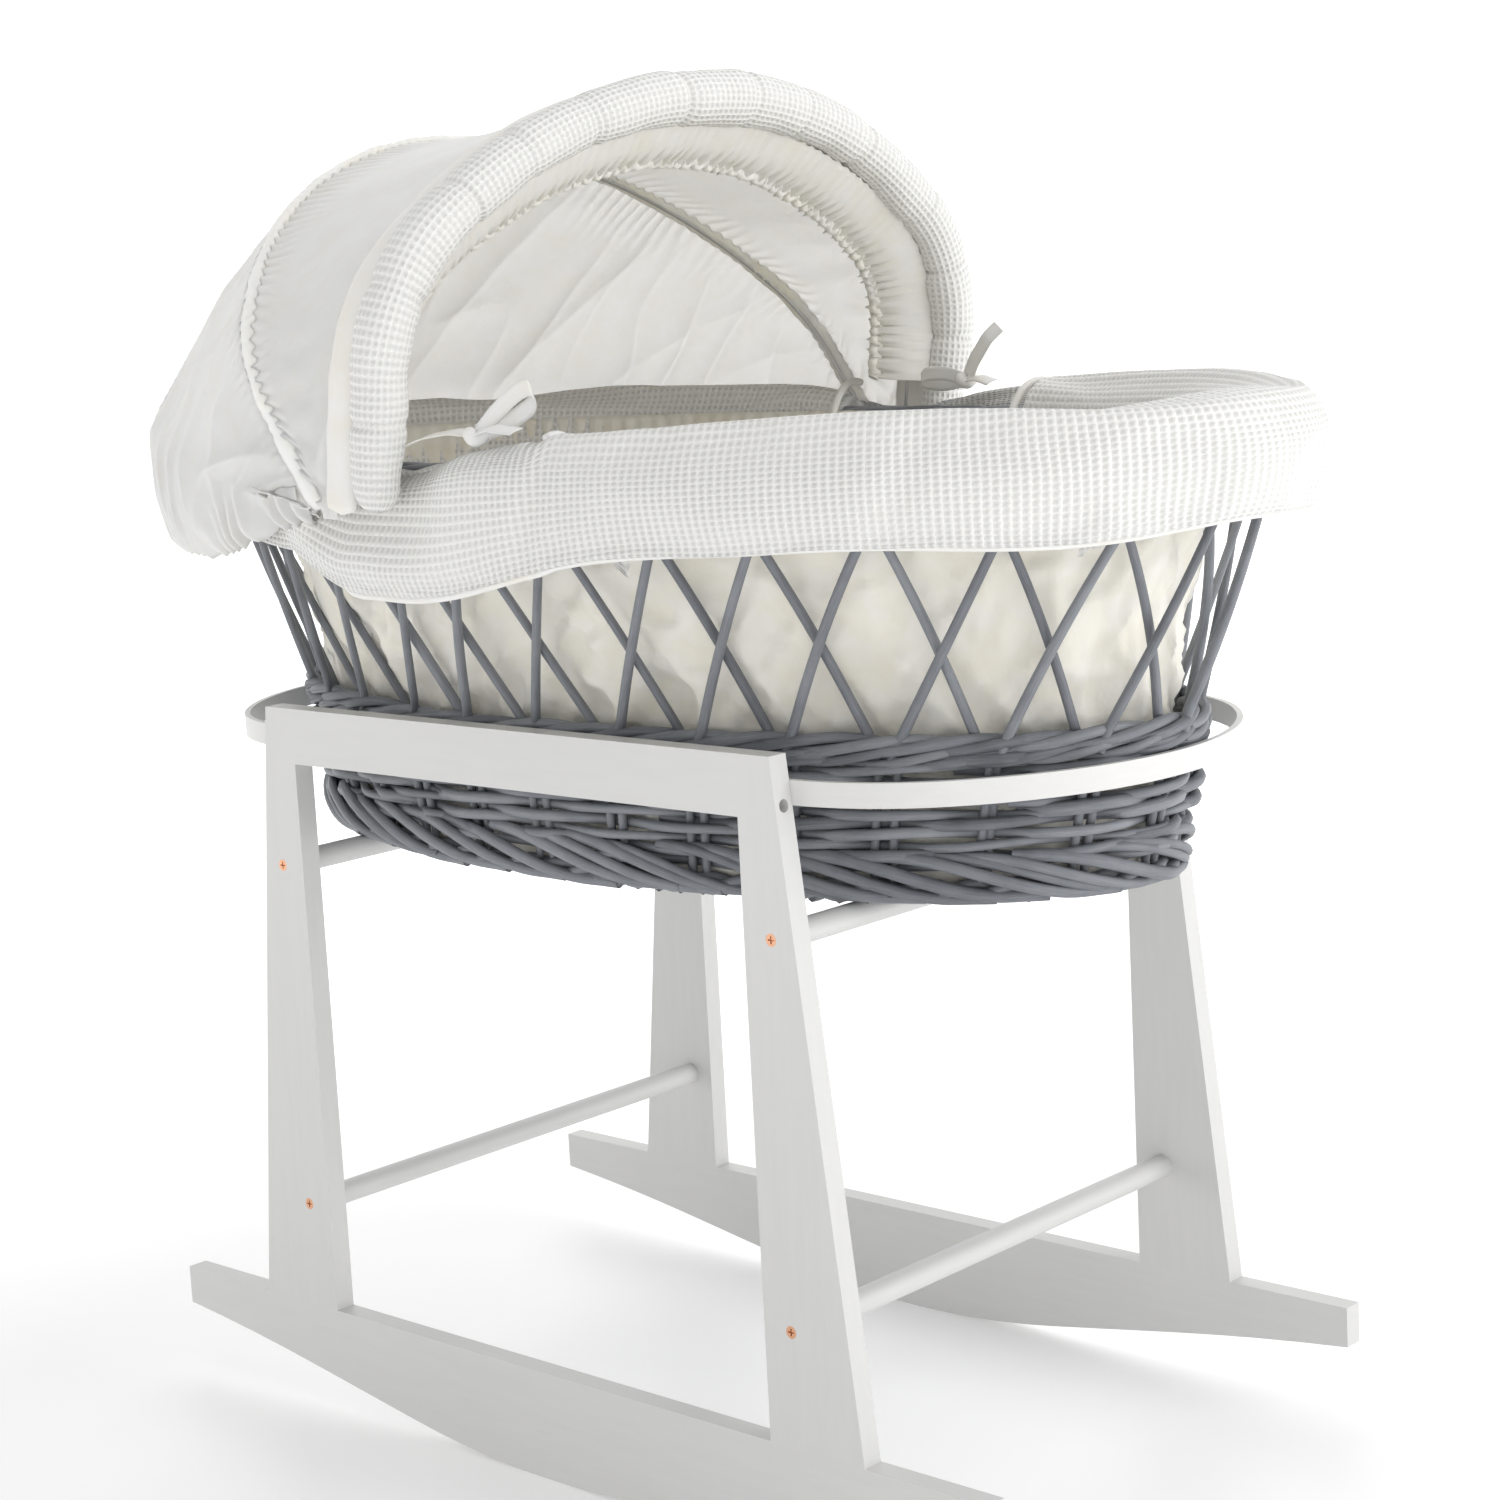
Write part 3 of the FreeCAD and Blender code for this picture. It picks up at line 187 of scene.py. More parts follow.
def archFrame(line, lean):
    # outward direction in the arch's plane, and the direction square to that plane
    t = unit(np.gradient(line, axis=0))
    lean = np.radians(lean)
    out = np.stack([t[:, 0] * np.sin(lean), -t[:, 1], t[:, 0] * np.cos(lean)], -1)
    across = np.broadcast_to(np.array([np.cos(lean), 0, -np.sin(lean)]), out.shape)
    return out, across


def puff(obj, pressure, cap, held, frames=20):
    # swell a padded piece by cloth under pressure; held points stay, and no point moves further than the cap
    rest = np.empty(len(obj.data.vertices) * 3)
    obj.data.vertices.foreach_get("co", rest)
    rest = rest.reshape(-1, 3)
    group = obj.vertex_groups.new(name="hold")
    group.add(np.nonzero(held.ravel())[0].tolist(), 1.0, "REPLACE")
    cloth = obj.modifiers.new("cloth", "CLOTH")
    padding = {"quality": 6, "mass": 0.2, "tension_stiffness": 12, "compression_stiffness": 12,
               "shear_stiffness": 6, "bending_stiffness": 0.6, "use_pressure": True,
               "uniform_pressure_force": pressure, "vertex_group_mass": "hold"}
    for setting, value in padding.items():
        setattr(cloth.settings, setting, value)
    cloth.settings.effector_weights.gravity = 0
    cloth.collision_settings.use_collision = False
    scene = bpy.context.scene
    for step in range(1, frames + 1):
        scene.frame_set(step)
    solved = obj.evaluated_get(bpy.context.evaluated_depsgraph_get())
    moved = np.empty(len(rest) * 3)
    solved.data.vertices.foreach_get("co", moved)
    move = moved.reshape(-1, 3) - rest
    far = np.linalg.norm(move, axis=1, keepdims=True)
    move *= np.minimum(1, cap / np.maximum(far, 1e-9))
    obj.modifiers.remove(cloth)
    obj.vertex_groups.remove(group)
    obj.data.vertices.foreach_set("co", (rest + move).ravel())
    obj.data.update()
    scene.frame_set(1)
    print("  puffed", obj.name, "mean move %.1f mm" % (np.linalg.norm(move, axis=1).mean() * 1000))


def subdivide(obj):
    # one level, the same in the view and in the render
    modifier = obj.modifiers.new("smooth", "SUBSURF")
    modifier.levels = modifier.render_levels = 1


def thicken(obj, thickness):
    # half of the cloth's thickness to each side
    modifier = obj.modifiers.new("cloth thickness", "SOLIDIFY")
    modifier.thickness = thickness
    modifier.offset = 0


def newMaterial(name, colour, roughness, **sockets):
    material = bpy.data.materials.new(name)
    material.use_nodes = True
    tree = material.node_tree
    shader = tree.nodes["Principled BSDF"]
    shader.inputs["Base Color"].default_value = (*colour, 1)
    shader.inputs["Roughness"].default_value = roughness
    for socket, value in sockets.items():
        shader.inputs[socket.replace("_", " ")].default_value = value
    return material, tree, shader


def maths(tree, kind, first, second=None):
    node = tree.nodes.new("ShaderNodeMath")
    node.operation = kind
    for i, value in enumerate((first, second)):
        if value is None:
            continue
        if isinstance(value, (int, float)):
            node.inputs[i].default_value = value
        else:
            tree.links.new(value, node.inputs[i])
    return node.outputs[0]


def plus(tree, first, second):
    return maths(tree, "ADD", first, second)


def times(tree, first, second):
    return maths(tree, "MULTIPLY", first, second)


def ramp(tree, factor, stops):
    node = tree.nodes.new("ShaderNodeValToRGB")
    elements = node.color_ramp.elements
    for i, (place, colour) in enumerate(stops):
        element = elements[i] if i < 2 else elements.new(place)
        element.position = place
        element.color = (*colour, 1)
    tree.links.new(factor, node.inputs[0])
    return node.outputs[0]


def noise(tree, scale, detail=4.0, stretch=(1, 1, 1), rough=0.55, coordinates="Object"):
    place = tree.nodes.new("ShaderNodeTexCoord")
    mapping = tree.nodes.new("ShaderNodeMapping")
    mapping.inputs["Scale"].default_value = stretch
    tree.links.new(place.outputs[coordinates], mapping.inputs["Vector"])
    node = tree.nodes.new("ShaderNodeTexNoise")
    node.inputs["Scale"].default_value = scale
    node.inputs["Detail"].default_value = detail
    node.inputs["Roughness"].default_value = rough
    tree.links.new(mapping.outputs[0], node.inputs["Vector"])
    return node.outputs["Fac"]


def bump(tree, shader, height, distance, strength=1.0):
    node = tree.nodes.new("ShaderNodeBump")
    node.inputs["Distance"].default_value = distance
    node.inputs["Strength"].default_value = strength
    tree.links.new(height, node.inputs["Height"])
    tree.links.new(node.outputs[0], shader.inputs["Normal"])


def glowThrough(shader, share, radius, scale):
    # light that passes through thin cloth
    shader.inputs["Subsurface Weight"].default_value = share
    shader.inputs["Subsurface Radius"].default_value = radius
    shader.inputs["Subsurface Scale"].default_value = scale


def paintedWood(name, stretch, tint=(0.70, 0.697, 0.688)):
    # white satin paint over a straight grain that shows as faint streaks; slightly greyed in soft cloudy patches
    material, tree, shader = newMaterial(name, tint, 0.42)
    grain = noise(tree, 60, 5, stretch, 0.6)
    cloud = noise(tree, 5, 3)
    dark = tuple(c * 0.97 for c in tint)
    light = tuple(min(1, c * 1.02) for c in tint)
    mixed = plus(tree, times(tree, grain, 0.55), times(tree, cloud, 0.45))
    tree.links.new(ramp(tree, mixed, [(0.3, dark), (0.62, light)]), shader.inputs["Base Color"])
    rough = plus(tree, times(tree, grain, 0.16), 0.34)
    tree.links.new(rough, shader.inputs["Roughness"])
    bump(tree, shader, grain, 0.0002, 0.4)
    return material


def metal(name, colour, roughness):
    # brushed metal: fine scratches in the roughness
    material, tree, shader = newMaterial(name, colour, roughness, Metallic=1.0)
    scratch = noise(tree, 900, 3, (1, 1, 6))
    rough = plus(tree, times(tree, scratch, 0.25), roughness - 0.1)
    tree.links.new(rough, shader.inputs["Roughness"])
    bump(tree, shader, scratch, 0.00005, 0.4)
    return material


def wickerPaint():
    # grey paint on willow: lengthwise streaks, thin patches, each rod a little different, cut ends paler
    material, tree, shader = newMaterial("greyWicker", (0.16, 0.17, 0.19), 0.5)
    attribute = tree.nodes.new("ShaderNodeAttribute")
    attribute.attribute_name = "tone"
    tone = attribute.outputs["Fac"]
    streak = noise(tree, 55, 5, (1, 22, 1), 0.6, "UV")
    patch = noise(tree, 26, 4)
    mixed = plus(tree, times(tree, streak, 0.5), times(tree, patch, 0.5))
    mixed = plus(tree, mixed, times(tree, tone, 0.22))
    colour = ramp(tree, mixed, [(0.28, (0.115, 0.122, 0.138)), (0.5, (0.195, 0.206, 0.228)),
                                (0.72, (0.275, 0.287, 0.31)), (0.95, (0.46, 0.44, 0.40))])
    tree.links.new(colour, shader.inputs["Base Color"])
    rough = plus(tree, times(tree, patch, 0.3), 0.33)
    tree.links.new(rough, shader.inputs["Roughness"])
    height = plus(tree, times(tree, streak, 0.7), times(tree, patch, 0.3))
    bump(tree, shader, height, 0.0006, 0.55)
    return material


def weaveWave(tree, axis, pitch):
    # a sine along one direction of the UV map, in metres
    place = tree.nodes.new("ShaderNodeTexCoord")
    split = tree.nodes.new("ShaderNodeSeparateXYZ")
    tree.links.new(place.outputs["UV"], split.inputs[0])
    return maths(tree, "SINE", times(tree, split.outputs[axis], 2 * np.pi / pitch))


def cottonCloth(name, colour, roughness=0.85, crease=0.4, through=0.0):
    # plain cotton: a fine over-and-under weave and soft creases; the hollows of the creases are painted a little darker
    # and warmer, a painted shade
    material, tree, shader = newMaterial(name, colour, roughness)
    shader.inputs["Sheen Weight"].default_value = 0.25
    shader.inputs["Sheen Roughness"].default_value = 0.5
    if through:
        glowThrough(shader, through, (1.0, 0.97, 0.92), 0.009)
    warp = weaveWave(tree, 0, 0.0009)
    weft = weaveWave(tree, 1, 0.0009)
    threads = times(tree, times(tree, warp, weft), 0.5)
    soft = noise(tree, 34, 6, (1, 1, 1), 0.6)
    slub = noise(tree, 420, 2, (1, 1, 1), 0.5)
    fine = plus(tree, times(tree, threads, 0.05), times(tree, slub, 0.05))
    height = plus(tree, times(tree, soft, crease * 3), fine)
    bump(tree, shader, height, 0.0016, 0.55)
    # painted shade: the colour of the crease hollows, a little darker and warmer than the cloth
    creaseShade = (colour[0] * 0.975, colour[1] * 0.95, colour[2] * 0.89)
    tree.links.new(ramp(tree, soft, [(0.32, creaseShade), (0.6, colour)]), shader.inputs["Base Color"])
    return material


def waffleCloth(name, colour, pitch):
    # waffle weave: raised cords both ways round sunken cells; the sunken cells are painted darker as painted shade, and
    # soft blotches vary the tone
    material, tree, shader = newMaterial(name, colour, 0.88)
    glowThrough(shader, 0.2, (1.0, 0.97, 0.90), 0.010)
    cords = []
    for axis in (0, 1):
        wave = weaveWave(tree, axis, 2 * pitch[axis])
        cords.append(maths(tree, "POWER", maths(tree, "ABSOLUTE", wave), 1.1))
    cell = times(tree, cords[0], cords[1])
    height = maths(tree, "SUBTRACT", 1.0, cell)
    thread = noise(tree, 900, 3, (1, 1, 1), 0.6)
    soft = noise(tree, 18, 3)
    height = plus(tree, height, times(tree, thread, 0.12))
    bump(tree, shader, height, 0.0016, 0.9)
    # painted shade: the colour deep in the sunken cells, darker than the raised cords
    shade = (colour[0] * 0.70, colour[1] * 0.70, colour[2] * 0.71)
    mixed = plus(tree, times(tree, cell, -0.6), times(tree, soft, 0.25))
    mixed = plus(tree, mixed, 0.75)
    tree.links.new(ramp(tree, mixed, [(0.14, shade), (0.58, colour)]), shader.inputs["Base Color"])
    return material


standWhite = {
    "alongX": paintedWood("paintAlongX", (0.25, 3, 3)),
    "alongZ": paintedWood("paintAlongZ", (3, 3, 0.25)),
    "alongY": paintedWood("paintAlongY", (3, 0.25, 3)),
    "lath": paintedWood("lathPaint", (1, 1, 5), (0.74, 0.735, 0.72))}
bareBeech = paintedWood("bareBeech", (3, 3, 0.25), (0.55, 0.38, 0.22))
copperBrass = metal("copperBrass", (0.72, 0.40, 0.25), 0.32)
zincPlate = metal("zincPlate", (0.62, 0.61, 0.58), 0.35)
springWire = metal("springWire", (0.55, 0.55, 0.55), 0.3)
capPlastic, capTree, capShader = newMaterial("capPlastic", (0.8, 0.8, 0.8), 0.5)
bump(capTree, capShader, noise(capTree, 600, 3), 0.0001, 0.4)
greyWicker = wickerPaint()
linerCotton = cottonCloth("linerCotton", (0.90, 0.88, 0.815), 0.80, 0.55)
hoodCotton = cottonCloth("hoodCotton", (0.95, 0.935, 0.895), 0.85, 0.4, 0.85)
ruffleCotton = cottonCloth("ruffleCotton", (0.90, 0.885, 0.845), 0.85, 0.3, 0.25)
# painted shade: the front band's cloth is the hood cotton made greyer and darker
shadedBandCotton = cottonCloth("shadedBandCotton", (0.86, 0.85, 0.83), 0.8, 0.25)
ribbonCotton = cottonCloth("ribbonCotton", (0.86, 0.86, 0.85), 0.75, 0.15)
mattressCotton = cottonCloth("mattressCotton", (0.86, 0.85, 0.81), 0.85, 0.3)
waffleCotton = waffleCloth("waffleCotton", (0.89, 0.885, 0.86), (0.0055, 0.0047))
waffleRoll = waffleCloth("waffleRoll", (0.89, 0.885, 0.86), (0.0051, 0.0045))
print("materials made")

hardware = {"dowel_screws": copperBrass, "strip_screws": copperBrass, "rail_bolts": zincPlate,
            "barrel_nuts": zincPlate, "rocker_pins": bareBeech, "front_hoop_wire": springWire,
            "mid_hoop_wire": springWire, "front_wire_caps": capPlastic, "mid_wire_caps": capPlastic}
painted = {"rail": "alongX", "rocker": "alongX", "leg": "alongZ", "upper": "alongY", "lower": "alongY",
           "strip": "lath"}  # by the first word of the node's name: the way its grain runs
sanded = {"boards": ("rail", "rocker", "leg"), "width": 0.0011, "sharpest": 0.7}
for name, obj in nodes.items():
    kind = name.split("_")[0]
    chosen = hardware.get(name, standWhite.get(painted.get(kind)))
    if chosen is not None:
        obj.data.materials.clear()
        obj.data.materials.append(chosen)
    if kind in sanded["boards"]:
        bevel = obj.modifiers.new("sandedEdges", "BEVEL")
        bevel.width = sanded["width"]
        bevel.segments = 2
        bevel.limit_method = "ANGLE"
        bevel.angle_limit = sanded["sharpest"]
print("stand finished")


def finish(obj, material, body, slot, *replaced):
    # material, body, slot (not used) and the CAD nodes the piece stands for
    obj.data.materials.append(material)
    if body:
        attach(obj, body)
    if replaced:
        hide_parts(*replaced)
    return obj


view = {"place": (1.3998, -1.4928, 0.7966), "yaw": 42.55, "pitch": 9.52, "roll": -3.0, "lens": 72.98}


def makeCamera():
    # looks along yaw and pitch from its place, rolled a little about its own axis
    yaw, pitch, roll = (np.radians(view[k]) for k in ("yaw", "pitch", "roll"))
    ahead = np.array([-np.sin(yaw) * np.cos(pitch), np.cos(yaw) * np.cos(pitch), -np.sin(pitch)])
    right = np.array([np.cos(yaw), np.sin(yaw), 0.0])
    up = np.cross(right, ahead)
    r = np.cos(roll) * right + np.sin(roll) * up
    u = -np.sin(roll) * right + np.cos(roll) * up
    data = bpy.data.cameras.new("camera")
    data.lens = view["lens"]
    data.sensor_width = 36
    camera = bpy.data.objects.new("camera", data)
    matrix = np.eye(4)
    matrix[:3, 0], matrix[:3, 1], matrix[:3, 2], matrix[:3, 3] = r, u, -ahead, view["place"]
    camera.matrix_world = Matrix(matrix.tolist())
    bpy.context.scene.collection.objects.link(camera)
    bpy.context.scene.camera = camera


def areaLight(name, place, target, size, power):
    # a rectangular softbox that faces its target
    data = bpy.data.lights.new(name, "AREA")
    data.shape = "RECTANGLE"
    data.size, data.size_y = size
    data.energy = power
    light = bpy.data.objects.new(name, data)
    light.location = place
    light.rotation_euler = (Vector(target) - Vector(place)).to_track_quat("-Z", "Y").to_euler()
    bpy.context.scene.collection.objects.link(light)


# place, target, size in metres, watts
softboxes = {"backSoftbox": ((-1.7, 2.0, 2.2), (0, 0, 0.6), (2.6, 2.2), 27),
             "topSoftbox": ((0.2, 0.2, 2.9), (0, 0, 0.4), (2.4, 2.4), 13),
             "rightSoftbox": ((2.6, 0.9, 1.4), (0, 0, 0.5), (1.8, 2.0), 27)}
studio = {"ambient": 0.56, "backdrop": 0.47}  # the backdrop's extra light is seen, and lights nothing

makeCamera()
for name, (place, target, size, power) in softboxes.items():
    areaLight(name, place, target, size, power)
world = bpy.data.worlds.new("studio")
world.use_nodes = True
worldTree = world.node_tree
glow = worldTree.nodes["Background"]
glow.inputs["Color"].default_value = (1, 1, 1, 1)
rays = worldTree.nodes.new("ShaderNodeLightPath")
seen = plus(worldTree, times(worldTree, rays.outputs["Is Camera Ray"], studio["backdrop"]), studio["ambient"])
worldTree.links.new(seen, glow.inputs["Strength"])
bpy.context.scene.world = world
bpy.context.scene.view_settings.view_transform = "Standard"


def makeFloor():
    # a wide pale sweep, flat under the object and lifting far behind it; it glows as painted light, faintly near the
    # object and more further out
    x = np.linspace(-6, 6, 25)[:, None]
    y = np.linspace(-6, 6, 49)[None]
    far = np.maximum(0, np.hypot(x, y) - 3.6)
    floor = gridPiece("floor", xyz(x, y, 0.12 * far ** 2), 12, 12)
    material, tree, shader = newMaterial("glowingFloorPaper", (0.88, 0.88, 0.88), 0.45)
    # painted light: the floor's own glow, weak near the object and growing with distance
    shader.inputs["Emission Color"].default_value = (1, 1, 1, 1)
    place = tree.nodes.new("ShaderNodeTexCoord")
    reach = tree.nodes.new("ShaderNodeVectorMath")
    reach.operation = "LENGTH"
    tree.links.new(place.outputs["Object"], reach.inputs[0])
    spread = tree.nodes.new("ShaderNodeMapRange")
    for socket, value in (("From Min", 0.55), ("From Max", 2.6), ("To Min", 0.20), ("To Max", 0.9)):
        spread.inputs[socket].default_value = value
    tree.links.new(reach.outputs["Value"], spread.inputs["Value"])
    tree.links.new(spread.outputs[0], shader.inputs["Emission Strength"])
    bump(tree, shader, noise(tree, 3, 2), 0.002, 0.2)
    floor.data.materials.append(material)


makeFloor()
print("camera, lights and floor made")

basket = {"shift": 0.005, "levels": [0.3983, 0.4186, 0.4889, 0.5032, 0.6555, 0.6705],
          "long": [0.3560, 0.3560, 0.3740, 0.3740, 0.4190, 0.4220],
          "wide": [0.1770, 0.1770, 0.1840, 0.1840, 0.2410, 0.2440], "meanLong": 0.395, "meanWide": 0.212,
          "pairs": 28}


def shareTable(longHalf, wideHalf):
    # ellipse angle against the share of its length
    angle = np.linspace(0, 2 * np.pi, 1441)
    step = np.hypot(np.diff(longHalf * np.cos(angle)), np.diff(wideHalf * np.sin(angle)))
    return np.concatenate([[0], np.cumsum(step)]) / step.sum(), angle


shares, angles = shareTable(basket["meanLong"], basket["meanWide"])
roundTheWall = 1.95  # mean length round the basket


def ovalPoint(share, long, wide, z, out):
    # the point a share of the way round an oval of two half axes, set out along its level normal
    angle = np.interp(share % 1.0, shares, angles)
    nx, ny = wide * np.cos(angle), long * np.sin(angle)
    size = np.hypot(nx, ny)
    x = basket["shift"] + long * np.cos(angle) + out * nx / size
    return xyz(x, wide * np.sin(angle) + out * ny / size, z)


def wallPoint(share, z, out, wall=basket):
    # the same on a wall whose half axes change with height, as its dictionary says
    long = np.interp(z, wall["levels"], wall["long"])
    wide = np.interp(z, wall["levels"], wall["wide"])
    return ovalPoint(share, long, wide, z, out)


def wallNormal(share):
    # level normal of the mean oval
    angle = np.interp(share % 1.0, shares, angles)
    return unit(xyz(basket["meanWide"] * np.cos(angle), basket["meanLong"] * np.sin(angle), 0))


def finishCane(rods, *replaced):
    finish(rods, greyWicker, "basket", "grey_wicker", *replaced)


lattice = {"low": 0.4885, "high": 0.6625, "rod": 0.0031, "spread": 0.07, "lean": 1.18, "bow": 0.035,
           "outerDepth": 0.0030, "innerDepth": 0.0098}


def leaningRods(name, direction, depth, node, seed):
    # each rod climbs the wall from the waist to the rim, bowing a little as willow does
    rng = np.random.default_rng(seed)
    count = basket["pairs"]
    t = np.linspace(0, 1, 26)
    i = np.arange(count)[:, None]
    wander = rng.normal(0, 0.045, (count, 1)) + rng.normal(0, 0.05, (count, 1)) * t
    bow = rng.normal(0, lattice["bow"], (count, 1)) * np.sin(np.pi * t)
    share = (i + direction * (lattice["spread"] + lattice["lean"] * t ** 0.97) + wander + bow) / count
    z = lattice["low"] + (lattice["high"] - lattice["low"]) * t
    swell = 0.0016 * np.sin(np.pi * t) * direction
    path = wallPoint(share, z, -depth + swell + 0.0015 * rng.normal(0, 0.5, (count, 1)))
    radius = lattice["rod"] * (1 + rng.normal(0, 0.06, (count, 1))) * (1.05 - 0.16 * t)
    rods = tubes(name, path, radius, 9, rng.uniform(-0.5, 0.5, count), ref=wallNormal(share))
    finishCane(rods, node)


leaningRods("latticeToFoot", 1, lattice["outerDepth"], "rods_leaning_foot", 11)
leaningRods("latticeToHead", -1, lattice["innerDepth"], "rods_leaning_head", 12)

sideRows = {"rows": 11, "low": 0.4210, "high": 0.4890, "rod": 0.0038, "perRow": 6, "overlap": 1.22,
            "strokes": 14, "swing": 0.0056, "tuck": 0.006}


def wovenSide():
    # rows of rods that pass in front of one pair of stakes and behind the next: a cosine of the way round, half a
    # stroke later each row; each row has several overlapping rods whose ends are tucked inside
    rng = np.random.default_rng(21)
    rows, perRow = sideRows["rows"], sideRows["perRow"]
    t = np.linspace(0, 1, 104)
    paths, radii, tones = [], [], []
    for row in range(rows):
        start = rng.uniform(0, 1) + np.arange(perRow)[:, None] / perRow
        share = start + t * (sideRows["overlap"] / perRow)
        level = sideRows["low"] + (sideRows["high"] - sideRows["low"]) * row / (rows - 1)
        turn = 2 * np.pi * share + np.pi * row / sideRows["strokes"]
        phase = sideRows["strokes"] * turn
        tuck = sideRows["tuck"] * (1 - ease(t, 0, 0.06) + ease(t, 0.94, 1))
        out = -0.0060 + sideRows["swing"] * np.cos(phase) * (1 + 0.25 * np.sin(5.3 * turn + row)) - tuck
        slope = rng.normal(0, 0.0020, (perRow, 1))
        z = level + 0.0011 * np.sin(phase + 0.7) + slope * (t - 0.5) * 2 + 0.0008 * np.sin(9 * turn)
        paths.append(wallPoint(share, z, out))
        taper = 1 - 0.30 * ease(t, 0.3, 1)
        radii.append(sideRows["rod"] * taper * (1 + rng.normal(0, 0.09, (perRow, 1))))
        tones.append(rng.uniform(-0.6, 0.6, perRow))
    rods = tubes("wovenSide", np.concatenate(paths), np.concatenate(radii), 8, np.concatenate(tones), cutTone=0.9)
    finishCane(rods, "side_weave")


uprights = {"low": 0.402, "tall": 0.092, "rod": 0.0029, "apart": 0.075, "depth": 0.0064}


def stakes():
    # paired straight uprights inside the weave
    rng = np.random.default_rng(22)
    count = basket["pairs"]
    t = np.linspace(0, 1, 8)
    i = np.arange(count)[:, None]
    paths = []
    for side in (-1, 1):
        share = (i + side * uprights["apart"] + rng.normal(0, 0.02, (count, 1))) / count
        paths.append(wallPoint(share, uprights["low"] + uprights["tall"] * t, -uprights["depth"]))
    paths = np.concatenate(paths)
    rods = tubes("stakes", paths, uprights["rod"], 7, rng.uniform(-0.5, 0.5, len(paths)))
    finishCane(rods)


footRods = {"count": 50, "top": 0.4285, "drop": 0.0255, "reach": 4.6, "rod": 0.0037, "bulge": 0.0085}
footRing = {"level": 0.4065, "depth": 0.0068, "strands": 2, "turns": 30, "high": 0.0036, "deep": 0.0030,
            "rod": 0.0040}


def footBorder():
    # long rods laid aslant round the foot, each over its neighbours, with cut ends at the bottom
    rng = np.random.default_rng(23)
    count = footRods["count"]
    t = np.linspace(0, 1, 22)
    i = np.arange(count)[:, None]
    share = (i + rng.normal(0, 0.22, (count, 1)) + footRods["reach"] * t) / count
    z = footRods["top"] - footRods["drop"] * ease(t, 0.1, 0.86) + rng.normal(0, 0.0008, (count, 1))
    out = -0.006 + footRods["bulge"] * np.sin(np.pi * np.clip(t * 1.12, 0, 1)) + 0.002 * ease(t, 0.8, 1)
    path = wallPoint(share, z, out + rng.normal(0, 0.0006, (count, 1)))
    radius = footRods["rod"] * (1 + rng.normal(0, 0.09, (count, 1)))
    rods = tubes("footBorderRods", path, radius, 8, rng.uniform(-0.4, 0.5, count), cutTone=2.2)
    finishCane(rods, "foot_border")


def twist(name, form, tones, steps, wob=0.0):
    # rods twisted into a rope round the wall: each circles the rope's middle, its own share of a turn behind
    strand = np.arange(form["strands"])[:, None]
    share = shareRound(steps) + 0 * strand
    phase = 2 * np.pi * (form["turns"] * share + strand / form["strands"])
    z = form["level"] + form["high"] * np.sin(phase) + wob * np.sin(2 * np.pi * 5 * share + strand)
    path = wallPoint(share, z, -form["depth"] + form["deep"] * np.cos(phase))
    return tubes(name, path, form["rod"], 8, tones, closed=True)


# three rods round each other on top of the close weave, a looser row below, and the six thick rods of the rim
braid = {"level": 0.4975, "depth": 0.0048, "strands": 3, "turns": 14, "high": 0.0036, "deep": 0.0040, "rod": 0.0036}
lowBraid = {**braid, "level": 0.4900, "turns": 17, "rod": 0.0031}
rim = {"level": 0.6625, "depth": 0.0085, "strands": 6, "turns": 9, "high": 0.0055, "deep": 0.0058, "rod": 0.0034}
bottom = {"level": 0.4024, "rods": 82, "sticks": 11, "rod": 0.0036, "stick": 0.0028, "long": 0.345, "wide": 0.168}


def wovenBase():
    # cross rods weaving over and under lengthwise sticks, trimmed to the oval
    rng = np.random.default_rng(24)
    count = bottom["rods"]
    across = np.linspace(-0.335, 0.335, count)[:, None]
    y = 0.165 * np.sqrt(1 - (across / bottom["long"]) ** 2) * np.linspace(-1, 1, 54)
    lift = 0.0022 * np.sin(2 * np.pi * y / 0.058 + np.pi * np.arange(count)[:, None])
    path = xyz(basket["shift"] + across, y, bottom["level"] + lift)
    rods = tubes("baseWeave", path, bottom["rod"], 7, rng.uniform(-0.5, 0.5, count), ref=(1.0, 0.0, 0.0))
    finishCane(rods, "basket_base")
    count = bottom["sticks"]
    y = np.linspace(-0.145, 0.145, count)[:, None]
    x = 0.338 * np.sqrt(1 - (y / bottom["wide"]) ** 2) * np.linspace(-1, 1, 12)
    path = xyz(basket["shift"] + x, y, bottom["level"])
    finishCane(tubes("baseSticks", path, bottom["stick"], 7, rng.uniform(-0.5, 0.5, count)))


wovenSide()
stakes()
footBorder()
finishCane(twist("footRing", footRing, [0.1, -0.3], 420))
finishCane(twist("waistBraid", braid, [-0.4, 0, 0.4], 560, 0.0009), "waist_braid")
finishCane(twist("waistBraidLow", lowBraid, [-0.4, 0, 0.4], 560, 0.0009))
finishCane(twist("rimRods", rim, np.linspace(-0.5, 0.5, 6), 420), "rim_border")
wovenBase()
print("basket woven")

liner = {"levels": [0.4060, 0.5030, 0.6705], "long": [0.3425, 0.3470, 0.3890], "wide": [0.1635, 0.1650, 0.2190],
         "rows": 560, "cols": 62, "top": 0.6690, "floor": 0.4095, "clothLong": 0.3400, "clothWide": 0.1610,
         "clothTop": 0.4080, "bigFold": 0.0210, "smallFold": 0.0110, "mostFold": 0.0130}


